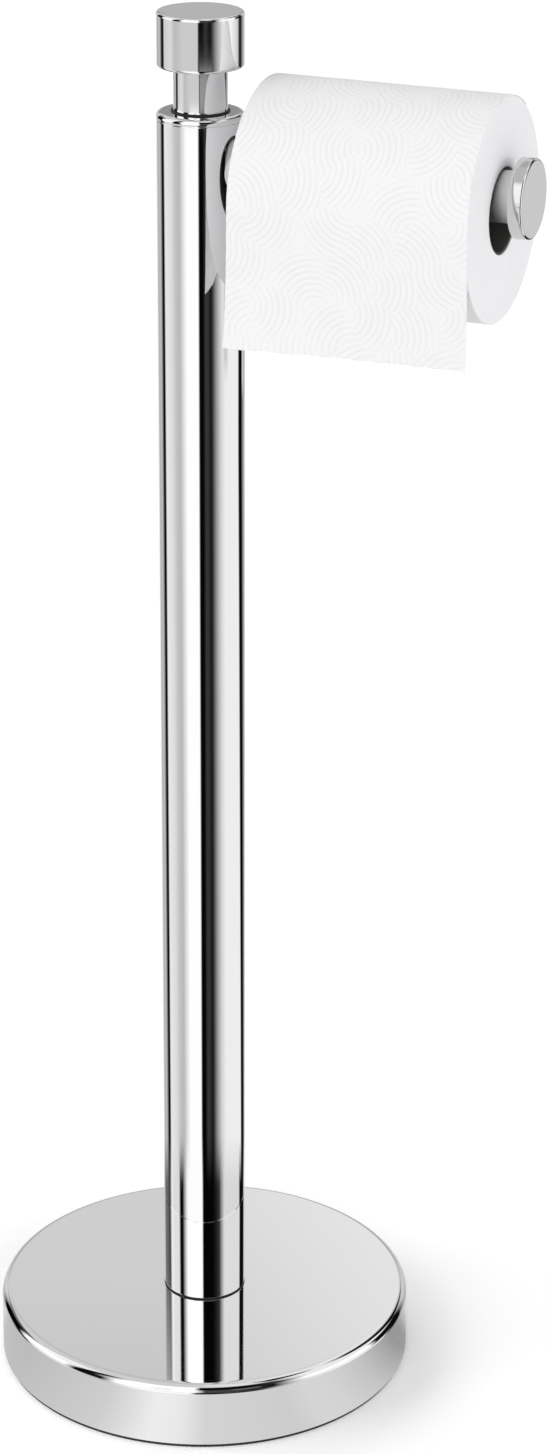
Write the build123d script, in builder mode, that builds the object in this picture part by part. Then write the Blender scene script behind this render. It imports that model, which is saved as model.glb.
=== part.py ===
"""Freestanding toilet paper holder: a weighted round base, a plain column with a
knob finial, a side arm with an end cap, and the loaded paper roll hanging on the arm.

Millimetres, +Z up, the arm points along +X, and the origin is the centre of the
face that rests on the floor.
"""

import math
import os

from build123d import *

# Base
base_diameter = 203.0
base_height = 34.4
base_wall = 1.2
base_edge_radius = 4.4
pad_thickness = 2.0
pad_inset = 1.0
weight_disc_thickness = 11.0
weight_edge_chamfer = 1.5
weight_boss_wall = 13.0
weight_boss_gusset = 4.0

# Base bolt, its two washers and the recess they sit in
bolt_diameter = 10.0
bolt_grip = 19.0
bolt_head_across_flats = 17.0
bolt_head_height = 6.4
bolt_head_chamfer = 0.8
bolt_tip_chamfer = 1.0
flat_washer_diameter = 28.0
flat_washer_thickness = 2.0
lock_washer_diameter = 17.5
lock_washer_thickness = 2.4
lock_washer_slit = 1.2
recess_side_room = 3.0
recess_head_room = 1.4

# Column
column_diameter = 40.0
column_wall = 1.5
column_top_height = 630.0
gasket_thickness = 0.8
gasket_overhang = 0.4
foot_plug_tip_room = 5.0
top_cap_edge_radius = 2.2
top_cap_skirt = 1.0
top_cap_spigot_length = 6.0
plug_chamfer = 0.8

# Finial
finial_washer_lip = 1.0
finial_washer_thickness = 1.2
finial_neck_diameter = 24.6
finial_neck_height = 19.0
finial_neck_chamfer = 0.3
knob_diameter = 39.5
knob_height = 24.5
knob_edge_radius = 1.3
finial_stud_diameter = 8.0
finial_stud_grip = 13.0
stud_chamfer = 0.8

# Arm
arm_diameter = 23.0
arm_wall = 1.5
arm_seat_depth = 12.5
arm_root_plug_length = 14.0
arm_end_plug_length = 16.0
arm_stud_diameter = 8.0
arm_stud_grip = 12.0
anchor_margin = 4.0
anchor_back_wall = 6.4
cap_thickness = 6.7
cap_edge_radius = 1.0
cap_back_chamfer = 0.4
cap_stud_diameter = 6.0
cap_stud_grip_in_cap = 4.0
cap_stud_grip_in_plug = 12.0

# Paper roll
roll_width = 110.0
roll_diameter = 99.6
roll_edge_chamfer = 0.6
core_bore_diameter = 36.5
core_wall = 1.1
core_setback = 0.4
sheet_thickness = 0.8
sheet_wrap_past_top_degrees = 35.0
sheet_straight_drop = 22.0
sheet_hang_length = 60.0
sheet_curl_radius = 260.0

# Clearances
plug_clearance = 0.05
thread_clearance = 0.05
bolt_hole_clearance = 0.25
weight_clearance = 0.3
anchor_gap = 0.3
cap_passing_gap = 0.35
hang_gap = 0.3
sheet_gap = 0.5
roll_to_column_gap = 13.2
roll_to_cap_gap = 7.2
overrun = 1.0

# Levels of the base, from the floor up
base_radius = base_diameter / 2
cover_ceiling = base_height - base_wall
weight_radius = base_radius - base_wall - weight_clearance
bolt_radius = bolt_diameter / 2
bolt_hole_radius = bolt_radius + bolt_hole_clearance
head_bottom = pad_thickness + recess_head_room
head_top = head_bottom + bolt_head_height
lock_washer_top = head_top + lock_washer_thickness
recess_top = lock_washer_top + flat_washer_thickness
recess_radius = flat_washer_diameter / 2 + recess_side_room
boss_radius = recess_radius + weight_boss_wall

# Levels of the column
column_radius = column_diameter / 2
column_bore_radius = column_radius - column_wall
plug_radius = column_bore_radius - plug_clearance
column_foot = base_height + gasket_thickness
bolt_tip = column_foot + bolt_grip
foot_plug_height = bolt_grip + foot_plug_tip_room
top_cap_head_height = top_cap_edge_radius + top_cap_skirt
tube_top = column_top_height - top_cap_head_height
spigot_bottom = tube_top - top_cap_spigot_length

# Levels of the finial
washer_top = column_top_height + finial_washer_thickness
knob_floor = washer_top + finial_neck_height
neck_radius = finial_neck_diameter / 2
finial_washer_radius = neck_radius + finial_washer_lip
finial_stud_radius = finial_stud_diameter / 2
finial_thread_radius = finial_stud_radius + thread_clearance
finial_hole_radius = finial_stud_radius + bolt_hole_clearance

# Places of the arm, close under the top cap
arm_radius = arm_diameter / 2
arm_bore_radius = arm_radius - arm_wall
arm_hole_radius = arm_radius + plug_clearance
arm_plug_radius = arm_bore_radius - plug_clearance
anchor_half_height = arm_radius + anchor_margin
arm_height = spigot_bottom - anchor_gap - anchor_half_height
arm_root = plug_radius - arm_seat_depth
arm_stud_start = anchor_back_wall - plug_radius
arm_stud_radius = arm_stud_diameter / 2
arm_thread_radius = arm_stud_radius + thread_clearance
roll_start = column_radius + roll_to_column_gap
arm_end = roll_start + roll_width + roll_to_cap_gap
cap_stud_radius = cap_stud_diameter / 2
cap_thread_radius = cap_stud_radius + thread_clearance

# Places of the roll, which hangs on the arm by the top of its bore
core_bore_radius = core_bore_diameter / 2
core_radius = core_bore_radius + core_wall
cap_radius = core_bore_radius - cap_passing_gap
roll_axis_height = arm_height - (core_bore_radius - arm_radius - hang_gap)
roll_radius = roll_diameter / 2

os.makedirs("parts", exist_ok=True)

# Spun cover of the base: a drum open below, with a rounded shoulder
with BuildPart() as base_cover:
    with BuildSketch(Plane.XY.offset(pad_thickness)):
        Circle(base_radius)
    extrude(amount=base_height - pad_thickness)
    shoulder = base_cover.faces().sort_by(Axis.Z)[-1].edges()
    fillet(shoulder, base_edge_radius)
    underside = base_cover.faces().sort_by(Axis.Z)[0]
    offset(amount=-base_wall, openings=underside)
    with BuildSketch(Plane.XY.offset(base_height)):
        Circle(bolt_hole_radius)
    extrude(amount=-(base_wall + overrun), mode=Mode.SUBTRACT)
base_cover.part.label = "base_cover"
export_step(base_cover.part, "parts/base_cover.step")

# Cast iron ballast: a disc whose centre boss carries the cover and takes the bolt
with BuildPart() as base_weight:
    with BuildSketch(Plane.XY.offset(pad_thickness)):
        Circle(weight_radius)
    extrude(amount=weight_disc_thickness)
    disc_rim = base_weight.faces().sort_by(Axis.Z)[-1].edges()
    chamfer(disc_rim, weight_edge_chamfer)
    with BuildSketch(Plane.XY.offset(pad_thickness)):
        Circle(boss_radius)
    extrude(amount=cover_ceiling - pad_thickness)
    disc_top = pad_thickness + weight_disc_thickness
    disc_top_edges = base_weight.edges().filter_by_position(Axis.Z, disc_top, disc_top)
    chamfer(disc_top_edges.sort_by(SortBy.RADIUS)[0], weight_boss_gusset)
    with BuildSketch(Plane.XY.offset(pad_thickness)):
        Circle(recess_radius)
    extrude(amount=recess_top - pad_thickness, mode=Mode.SUBTRACT)
    with BuildSketch(Plane.XY.offset(recess_top)):
        Circle(bolt_hole_radius)
    extrude(amount=cover_ceiling - recess_top + overrun, mode=Mode.SUBTRACT)
base_weight.part.label = "base_weight"
export_step(base_weight.part, "parts/base_weight.step")

# Non-slip pad that the whole stand rests on
with BuildPart() as foot_pad:
    with BuildSketch():
        Circle(base_radius - pad_inset)
    extrude(amount=pad_thickness)
foot_pad.part.label = "foot_pad"
export_step(foot_pad.part, "parts/foot_pad.step")

# Hexagon bolt from below, through the ballast and the cover into the foot plug
with BuildPart() as base_bolt:
    with BuildSketch(Plane.XY.offset(head_bottom)):
        RegularPolygon(bolt_head_across_flats / 2, 6, major_radius=False)
    extrude(amount=bolt_head_height)
    chamfer(base_bolt.faces().sort_by(Axis.Z)[0].edges(), bolt_head_chamfer)
    with BuildSketch(Plane.XY.offset(head_top)):
        Circle(bolt_radius)
    extrude(amount=bolt_tip - head_top)
    chamfer(base_bolt.faces().sort_by(Axis.Z)[-1].edges(), bolt_tip_chamfer)
base_bolt.part.label = "base_bolt"
export_step(base_bolt.part, "parts/base_bolt.step")

# Split spring washer under the bolt head
with BuildPart() as base_lock_washer:
    with BuildSketch(Plane.XY.offset(head_top)):
        Circle(lock_washer_diameter / 2)
        Circle(bolt_hole_radius, mode=Mode.SUBTRACT)
        with Locations((lock_washer_diameter / 2, 0)):
            Rectangle(lock_washer_diameter, lock_washer_slit, mode=Mode.SUBTRACT)
    extrude(amount=lock_washer_thickness)
base_lock_washer.part.label = "base_lock_washer"
export_step(base_lock_washer.part, "parts/base_lock_washer.step")

# Wide flat washer against the roof of the recess
with BuildPart() as base_washer:
    with BuildSketch(Plane.XY.offset(lock_washer_top)):
        Circle(flat_washer_diameter / 2)
        Circle(bolt_hole_radius, mode=Mode.SUBTRACT)
    extrude(amount=flat_washer_thickness)
base_washer.part.label = "base_washer"
export_step(base_washer.part, "parts/base_washer.step")

# Thin dark ring that seats the column on the cover
with BuildPart() as column_gasket:
    with BuildSketch(Plane.XY.offset(base_height)):
        Circle(column_radius + gasket_overhang)
        Circle(bolt_hole_radius, mode=Mode.SUBTRACT)
    extrude(amount=gasket_thickness)
column_gasket.part.label = "column_gasket"
export_step(column_gasket.part, "parts/column_gasket.step")

# Tapped plug brazed into the foot of the column
with BuildPart() as column_foot_plug:
    with BuildSketch(Plane.XY.offset(column_foot)):
        Circle(plug_radius)
    extrude(amount=foot_plug_height)
    chamfer(column_foot_plug.faces().sort_by(Axis.Z)[-1].edges(), plug_chamfer)
    with BuildSketch(Plane.XY.offset(column_foot)):
        Circle(bolt_radius + thread_clearance)
    extrude(amount=foot_plug_height + overrun, mode=Mode.SUBTRACT)
column_foot_plug.part.label = "column_foot_plug"
export_step(column_foot_plug.part, "parts/column_foot_plug.step")

# Column tube, with one hole near the top where the arm goes through the wall
with BuildPart() as column_tube:
    with BuildSketch(Plane.XY.offset(column_foot)):
        Circle(column_radius)
        Circle(column_bore_radius, mode=Mode.SUBTRACT)
    extrude(amount=tube_top - column_foot)
    with BuildSketch(Plane.YZ):
        with Locations((0, arm_height)):
            Circle(arm_hole_radius)
    extrude(amount=column_radius + overrun, mode=Mode.SUBTRACT)
column_tube.part.label = "column_tube"
export_step(column_tube.part, "parts/column_tube.step")

# Round block inside the column that the arm seats in and screws into
with BuildPart() as arm_anchor_block:
    with BuildSketch(Plane.XY.offset(arm_height - anchor_half_height)):
        Circle(plug_radius)
    extrude(amount=2 * anchor_half_height)
    chamfer(arm_anchor_block.faces().filter_by(Axis.Z).edges(), plug_chamfer)
    with BuildSketch(Plane.YZ.offset(arm_root)):
        with Locations((0, arm_height)):
            Circle(arm_hole_radius)
    extrude(amount=arm_seat_depth + overrun, mode=Mode.SUBTRACT)
    with BuildSketch(Plane.YZ.offset(arm_root)):
        with Locations((0, arm_height)):
            Circle(arm_thread_radius)
    extrude(amount=arm_stud_start - arm_root, mode=Mode.SUBTRACT)
arm_anchor_block.part.label = "arm_anchor_block"
export_step(arm_anchor_block.part, "parts/arm_anchor_block.step")

# Top cap of the column: a rounded head, flush with the tube, on a short spigot
with BuildPart() as column_top_cap:
    with BuildSketch(Plane.XY.offset(tube_top)):
        Circle(column_radius)
    extrude(amount=top_cap_head_height)
    fillet(column_top_cap.faces().sort_by(Axis.Z)[-1].edges(), top_cap_edge_radius)
    with BuildSketch(Plane.XY.offset(spigot_bottom)):
        Circle(plug_radius)
    extrude(amount=top_cap_spigot_length)
    with BuildSketch(Plane.XY.offset(spigot_bottom)):
        Circle(finial_thread_radius)
    extrude(amount=column_top_height - spigot_bottom + overrun, mode=Mode.SUBTRACT)
column_top_cap.part.label = "column_top_cap"
export_step(column_top_cap.part, "parts/column_top_cap.step")

# Stud that draws the finial down on the top cap
with BuildPart() as finial_stud:
    with BuildSketch(Plane.XY.offset(spigot_bottom)):
        Circle(finial_stud_radius)
    extrude(amount=knob_floor + finial_stud_grip - spigot_bottom)
    chamfer(finial_stud.faces().filter_by(Axis.Z).edges(), stud_chamfer)
finial_stud.part.label = "finial_stud"
export_step(finial_stud.part, "parts/finial_stud.step")

# Dark washer between the column top and the finial
with BuildPart() as finial_washer:
    with BuildSketch(Plane.XY.offset(column_top_height)):
        Circle(finial_washer_radius)
        Circle(finial_hole_radius, mode=Mode.SUBTRACT)
    extrude(amount=finial_washer_thickness)
finial_washer.part.label = "finial_washer"
export_step(finial_washer.part, "parts/finial_washer.step")

# Turned neck of the finial, bored for the stud
with BuildPart() as finial_neck:
    with BuildSketch(Plane.XY.offset(washer_top)):
        Circle(neck_radius)
    extrude(amount=finial_neck_height)
    chamfer(finial_neck.faces().sort_by(Axis.Z)[0].edges(), finial_neck_chamfer)
    with BuildSketch(Plane.XY.offset(washer_top)):
        Circle(finial_hole_radius)
    extrude(amount=finial_neck_height + overrun, mode=Mode.SUBTRACT)
finial_neck.part.label = "finial_neck"
export_step(finial_neck.part, "parts/finial_neck.step")

# Knob: a thick turned disc with a blind tapped hole below
with BuildPart() as finial_knob:
    with BuildSketch(Plane.XY.offset(knob_floor)):
        Circle(knob_diameter / 2)
    extrude(amount=knob_height)
    fillet(finial_knob.faces().filter_by(Axis.Z).edges(), knob_edge_radius)
    with BuildSketch(Plane.XY.offset(knob_floor)):
        Circle(finial_thread_radius)
    extrude(amount=finial_stud_grip + overrun, mode=Mode.SUBTRACT)
finial_knob.part.label = "finial_knob"
export_step(finial_knob.part, "parts/finial_knob.step")

# Arm tube, from its seat in the anchor block to the back of the end cap
with BuildPart() as arm_tube:
    with BuildSketch(Plane.YZ.offset(arm_root)):
        with Locations((0, arm_height)):
            Circle(arm_radius)
            Circle(arm_bore_radius, mode=Mode.SUBTRACT)
    extrude(amount=arm_end - arm_root)
arm_tube.part.label = "arm_tube"
export_step(arm_tube.part, "parts/arm_tube.step")

# Tapped plug in the root of the arm
with BuildPart() as arm_root_plug:
    with BuildSketch(Plane.YZ.offset(arm_root)):
        with Locations((0, arm_height)):
            Circle(arm_plug_radius)
            Circle(arm_thread_radius, mode=Mode.SUBTRACT)
    extrude(amount=arm_root_plug_length)
arm_root_plug.part.label = "arm_root_plug"
export_step(arm_root_plug.part, "parts/arm_root_plug.step")

# Stud that screws the arm into the anchor block
with BuildPart() as arm_stud:
    with BuildSketch(Plane.YZ.offset(arm_stud_start)):
        with Locations((0, arm_height)):
            Circle(arm_stud_radius)
    extrude(amount=arm_root + arm_stud_grip - arm_stud_start)
    chamfer(arm_stud.faces().filter_by(Axis.X).edges(), stud_chamfer)
arm_stud.part.label = "arm_stud"
export_step(arm_stud.part, "parts/arm_stud.step")

# Tapped plug in the outer end of the arm
with BuildPart() as arm_end_plug:
    with BuildSketch(Plane.YZ.offset(arm_end - arm_end_plug_length)):
        with Locations((0, arm_height)):
            Circle(arm_plug_radius)
            Circle(cap_thread_radius, mode=Mode.SUBTRACT)
    extrude(amount=arm_end_plug_length)
arm_end_plug.part.label = "arm_end_plug"
export_step(arm_end_plug.part, "parts/arm_end_plug.step")

# Stud between the end plug and the end cap
with BuildPart() as arm_cap_stud:
    with BuildSketch(Plane.YZ.offset(arm_end - cap_stud_grip_in_plug)):
        with Locations((0, arm_height)):
            Circle(cap_stud_radius)
    extrude(amount=cap_stud_grip_in_plug + cap_stud_grip_in_cap)
arm_cap_stud.part.label = "arm_cap_stud"
export_step(arm_cap_stud.part, "parts/arm_cap_stud.step")

# End cap: wider than the arm, so the roll stays on until it is lifted over the cap
with BuildPart() as arm_end_cap:
    with BuildSketch(Plane.YZ.offset(arm_end)):
        with Locations((0, arm_height)):
            Circle(cap_radius)
    extrude(amount=cap_thickness)
    fillet(arm_end_cap.faces().sort_by(Axis.X)[-1].edges(), cap_edge_radius)
    chamfer(arm_end_cap.faces().sort_by(Axis.X)[0].edges(), cap_back_chamfer)
    with BuildSketch(Plane.YZ.offset(arm_end)):
        with Locations((0, arm_height)):
            Circle(cap_thread_radius)
    extrude(amount=cap_stud_grip_in_cap, mode=Mode.SUBTRACT)
arm_end_cap.part.label = "arm_end_cap"
export_step(arm_end_cap.part, "parts/arm_end_cap.step")

# Cardboard core of the roll
with BuildPart() as roll_core:
    with BuildSketch(Plane.YZ.offset(roll_start + core_setback)):
        with Locations((0, roll_axis_height)):
            Circle(core_radius)
            Circle(core_bore_radius, mode=Mode.SUBTRACT)
    extrude(amount=roll_width - 2 * core_setback)
roll_core.part.label = "roll_core"
export_step(roll_core.part, "parts/roll_core.step")

# Wound paper, with its cut edges slightly broken
with BuildPart() as roll_paper:
    with BuildSketch(Plane.YZ.offset(roll_start)):
        with Locations((0, roll_axis_height)):
            Circle(roll_radius)
    extrude(amount=roll_width)
    chamfer(roll_paper.faces().filter_by(Axis.X).edges(), roll_edge_chamfer)
    with BuildSketch(Plane.YZ.offset(roll_start)):
        with Locations((0, roll_axis_height)):
            Circle(core_radius + plug_clearance)
    extrude(amount=roll_width + overrun, mode=Mode.SUBTRACT)
roll_paper.part.label = "roll_paper"
export_step(roll_paper.part, "parts/roll_paper.step")


def sheet_face_line(distance):
    """Draw the section of one face of the loose sheet, at a distance from the roll.

    The face goes over the top of the roll, straight down at the front, and then
    curls slightly outwards. Returns the curve objects from the top end downwards.
    """
    radius = roll_radius + distance
    curl = sheet_curl_radius - distance
    turn = math.radians(90 + sheet_wrap_past_top_degrees)
    drop_end = roll_axis_height - sheet_straight_drop
    swing = math.asin((sheet_hang_length - sheet_straight_drop) / sheet_curl_radius)

    def on_roll(angle):
        back = -radius * math.cos(angle)
        return (back, roll_axis_height + radius * math.sin(angle))

    def on_curl(angle):
        out = curl * (1 - math.cos(angle))
        return (-radius - out, drop_end - curl * math.sin(angle))

    wrap = ThreePointArc(on_roll(turn), on_roll(turn / 2), on_roll(0))
    drop = Line(on_roll(0), on_curl(0))
    end_curl = ThreePointArc(on_curl(0), on_curl(swing / 2), on_curl(swing))
    return wrap, drop, end_curl


# Loose end of the paper: over the roll, hanging at the front of it
with BuildPart() as hanging_sheet:
    with BuildSketch(Plane.YZ.offset(roll_start)):
        with BuildLine():
            inner = sheet_face_line(sheet_gap)
            outer = sheet_face_line(sheet_gap + sheet_thickness)
            Line(inner[0] @ 0, outer[0] @ 0)
            Line(inner[-1] @ 1, outer[-1] @ 1)
        make_face()
    extrude(amount=roll_width)
hanging_sheet.part.label = "hanging_sheet"
export_step(hanging_sheet.part, "parts/hanging_sheet.step")
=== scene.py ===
"""Looks of the freestanding toilet paper holder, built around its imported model.

Every length is in metres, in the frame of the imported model: +Z runs up the column, +X
runs along the arm towards its end cap, and the paper hangs on the -Y side.
"""

import logging
import math
import random
from dataclasses import dataclass, field
from enum import Enum

import bpy
from mathutils import Matrix, Vector


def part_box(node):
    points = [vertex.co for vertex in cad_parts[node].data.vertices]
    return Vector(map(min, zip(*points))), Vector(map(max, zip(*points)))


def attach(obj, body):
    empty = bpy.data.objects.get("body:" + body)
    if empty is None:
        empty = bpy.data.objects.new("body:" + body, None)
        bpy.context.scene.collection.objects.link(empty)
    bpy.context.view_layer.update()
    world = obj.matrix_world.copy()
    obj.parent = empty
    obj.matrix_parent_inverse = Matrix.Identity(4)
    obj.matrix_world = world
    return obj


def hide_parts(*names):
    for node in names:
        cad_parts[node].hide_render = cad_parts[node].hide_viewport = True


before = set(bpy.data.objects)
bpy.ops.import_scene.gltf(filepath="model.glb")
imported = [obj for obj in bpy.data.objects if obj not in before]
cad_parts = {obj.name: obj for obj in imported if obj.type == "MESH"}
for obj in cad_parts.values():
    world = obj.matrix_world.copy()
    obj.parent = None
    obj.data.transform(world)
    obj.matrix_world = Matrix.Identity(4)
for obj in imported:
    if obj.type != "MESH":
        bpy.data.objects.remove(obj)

MM = 0.001
ALONG_ARM = Vector((1, 0, 0))
CAMERA_AZIMUTH = -66.926                # degrees from +X, fitted to the photograph
TIMES = {"operation": "MULTIPLY"}       # settings of a math node that multiplies

# Short names of Blender's types. A source is what an input of a node can be linked to
Mesh = bpy.types.Mesh
Node = bpy.types.Node
Piece = bpy.types.Object
Socket = bpy.types.NodeSocket
Tree = bpy.types.NodeTree
Source = Node | Socket

log = logging.getLogger("toilet_paper_holder")


class Slot(Enum):
    """Material slots of the record that the pieces take their finish from."""

    CHROME = "polished_chrome"
    IRON = "cast_iron"
    ZINC = "zinc_steel"
    RUBBER = "black_rubber"
    CARDBOARD = "cardboard"
    TISSUE = "tissue_paper"


class Body(Enum):
    """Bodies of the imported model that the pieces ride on."""

    STAND = "stand"
    LOOSE_END = "loose_end"
    ROLL = "roll"


def linear(colour: str) -> tuple[float, float, float, float]:
    """Turn an sRGB hex colour into linear values.

    Args:
        colour: The colour as "#RRGGBB".

    Returns:
        Linear red, green, blue and an alpha of 1.
    """
    channels = []
    for start in (1, 3, 5):
        value = int(colour[start:start + 2], 16) / 255
        channels.append(value / 12.92 if value <= 0.04045 else ((value + 0.055) / 1.055) ** 2.4)
    return (*channels, 1.0)


def linear_grey(level: int) -> tuple[float, float, float, float]:
    """Return the linear values of a neutral grey, given as an sRGB level from 0 to 255."""
    return linear("#" + f"{level:02X}" * 3)


def wave_scale(pitch: float) -> float:
    """Return the scale at which the wave texture repeats once in every pitch, in metres."""
    return math.pi / (10 * pitch)


def add_node(tree: Tree, kind: str, settings: dict | None = None, *values: object,
             **inputs: object) -> Node:
    """Add a node with its settings, input values and links.

    A socket or a node that is given as an input is linked, and a node stands for its first
    output. Anything else is set.

    Args:
        tree: Node tree that receives the node.
        kind: Blender's type name of the node.
        settings: Values of the node's own properties.
        *values: What goes into the node's first sockets, in their order.
        **inputs: What goes into other sockets, each by the socket's name with spaces as
            underscores, or by "input_N" for socket N.

    Returns:
        The new node.
    """
    node = tree.nodes.new(kind)
    for name, value in (settings or {}).items():
        setattr(node, name, value)
    filled = list(enumerate(values))
    for name, value in inputs.items():
        filled.append((int(name[6:]) if name.startswith("input_") else name.replace("_", " "), value))
    for key, value in filled:
        source = value.outputs[0] if isinstance(value, Node) else value
        if isinstance(source, Socket):
            tree.links.new(source, node.inputs[key])
        else:
            node.inputs[key].default_value = source
    return node


def cover(tree: Tree, under: object, over: object, *shares: Source) -> Socket:
    """Lay one colour over another, as far as the product of the shares says.

    Args:
        tree: Node tree that receives the nodes.
        under: The colour below, as a source or as linear values.
        over: The colour above, likewise.
        *shares: What gives the shares, each from 0 to 1.

    Returns:
        The resulting colour.
    """
    share = shares[0]
    for other in shares[1:]:
        share = add_node(tree, "ShaderNodeMath", TIMES, share, other)
    mix = add_node(tree, "ShaderNodeMix", {"data_type": "RGBA"}, share, input_6=under, input_7=over)
    return mix.outputs[2]


class Finish:
    """What every finish shares: a material with one shader, fed by the finish's own patterns."""

    name: str

    def surface(self, tree: Tree, place: Socket) -> dict[str, object]:
        """Add the patterns of the finish.

        Args:
            tree: Node tree of the material.
            place: Socket with the place on the object, in metres.

        Returns:
            What goes into the shader, by the names of its sockets.
        """
        raise NotImplementedError

    def shader(self, tree: Tree, place: Socket) -> Node:
        """Return the shader with everything that goes into it."""
        return add_node(tree, "ShaderNodeBsdfPrincipled", **self.surface(tree, place))

    def build(self) -> bpy.types.Material:
        """Make the material, with its shader.

        Returns:
            The finished material.
        """
        material = bpy.data.materials.new(self.name)
        material.use_nodes = True
        tree = material.node_tree
        tree.nodes.clear()
        place = add_node(tree, "ShaderNodeTexCoord").outputs["Object"]
        add_node(tree, "ShaderNodeOutputMaterial", Surface=self.shader(tree, place))
        return material


@dataclass(frozen=True)
class PolishedChrome(Finish):
    """Decorative chromium plating on brass and steel, buffed to a mirror.

    The eye sees almost only reflections. Buffing leaves a faint haze, wiping leaves broad
    soft patches where it is a little duller, and the plate has a barely visible waviness.
    """

    name: str = "polished_chrome_plate"
    colour: str = "#EFEFEF"
    roughness_low: float = 0.012
    roughness_high: float = 0.045
    haze_size: float = 55 * MM
    haze_low: float = 0.3
    haze_high: float = 0.75
    wave_size: float = 28 * MM
    wave_height: float = 0.0015 * MM

    def surface(self, tree: Tree, place: Socket) -> dict[str, object]:
        """Add the haze and the waviness.

        Args:
            tree: Node tree of the material.
            place: Socket with the place on the object, in metres.

        Returns:
            What goes into the shader, by the names of its sockets.
        """
        haze = add_node(tree, "ShaderNodeTexNoise", Vector=place, Scale=1 / self.haze_size, Detail=5.0)
        roughness = add_node(
            tree, "ShaderNodeMapRange", Value=haze, From_Min=self.haze_low, From_Max=self.haze_high,
            To_Min=self.roughness_low, To_Max=self.roughness_high,
        )
        wave = add_node(tree, "ShaderNodeTexNoise", Vector=place, Scale=1 / self.wave_size, Detail=1.0)
        bump = add_node(tree, "ShaderNodeBump", Height=wave, Strength=1.0, Distance=self.wave_height)
        return {"Base_Color": linear(self.colour), "Metallic": 1.0, "Roughness": roughness, "Normal": bump}


@dataclass(frozen=True)
class PaintedIron(Finish):
    """Grey cast iron under a thin coat of black primer: sand-cast pits show through it."""

    name: str = "primed_cast_iron"
    colour: str = "#2B2C2E"
    worn_colour: str = "#3B3B3C"
    roughness: float = 0.62
    grain: float = 1.6 * MM
    pit_depth: float = 0.25 * MM

    def surface(self, tree: Tree, place: Socket) -> dict[str, object]:
        """Add the sand-cast pits.

        Args:
            tree: Node tree of the material.
            place: Socket with the place on the object, in metres.

        Returns:
            What goes into the shader, by the names of its sockets.
        """
        sand = add_node(tree, "ShaderNodeTexNoise", Vector=place, Scale=1 / self.grain, Detail=6.0)
        colour = cover(tree, linear(self.colour), linear(self.worn_colour), sand)
        bump = add_node(tree, "ShaderNodeBump", Height=sand, Strength=0.8, Distance=self.pit_depth)
        return {"Base_Color": colour, "Roughness": self.roughness, "Normal": bump}


@dataclass(frozen=True)
class ZincSteel(Finish):
    """Turned mild steel with bright zinc plate: a cool grey with fine turning lines."""

    name: str = "zinc_plated_steel"
    colour: str = "#B9BDC2"
    dull_colour: str = "#9EA2A8"
    roughness: float = 0.3
    spangle: float = 3.5 * MM
    line_pitch: float = 0.6 * MM
    line_depth: float = 0.02 * MM

    def surface(self, tree: Tree, place: Socket) -> dict[str, object]:
        """Add the spangle and the turning lines.

        Args:
            tree: Node tree of the material.
            place: Socket with the place on the object, in metres.

        Returns:
            What goes into the shader, by the names of its sockets.
        """
        cloud = add_node(tree, "ShaderNodeTexVoronoi", Vector=place, Scale=1 / self.spangle)
        colour = cover(tree, linear(self.colour), linear(self.dull_colour), cloud)
        lines = add_node(
            tree, "ShaderNodeTexWave", {"bands_direction": "Z"}, Vector=place,
            Scale=wave_scale(self.line_pitch), Distortion=0.4,
        )
        bump = add_node(
            tree, "ShaderNodeBump", Height=lines.outputs["Fac"], Strength=0.3, Distance=self.line_depth,
        )
        return {"Base_Color": colour, "Metallic": 1.0, "Roughness": self.roughness, "Normal": bump}


@dataclass(frozen=True)
class BlackRubber(Finish):
    """Moulded black nitrile rubber: matt, nearly black, with a fine mould grain."""

    name: str = "moulded_black_rubber"
    colour: str = "#141414"
    bloom_colour: str = "#222222"
    roughness: float = 0.6
    grain: float = 0.8 * MM
    grain_depth: float = 0.05 * MM
    bloom: float = 24 * MM

    def surface(self, tree: Tree, place: Socket) -> dict[str, object]:
        """Add the mould grain and the grey bloom.

        Args:
            tree: Node tree of the material.
            place: Socket with the place on the object, in metres.

        Returns:
            What goes into the shader, by the names of its sockets.
        """
        grain = add_node(tree, "ShaderNodeTexNoise", Vector=place, Scale=1 / self.grain, Detail=3.0)
        bloom = add_node(tree, "ShaderNodeTexNoise", Vector=place, Scale=1 / self.bloom)
        colour = cover(tree, linear(self.colour), linear(self.bloom_colour), bloom)
        bump = add_node(tree, "ShaderNodeBump", Height=grain, Strength=0.5, Distance=self.grain_depth)
        return {"Base_Color": colour, "Roughness": self.roughness, "Normal": bump}


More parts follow.
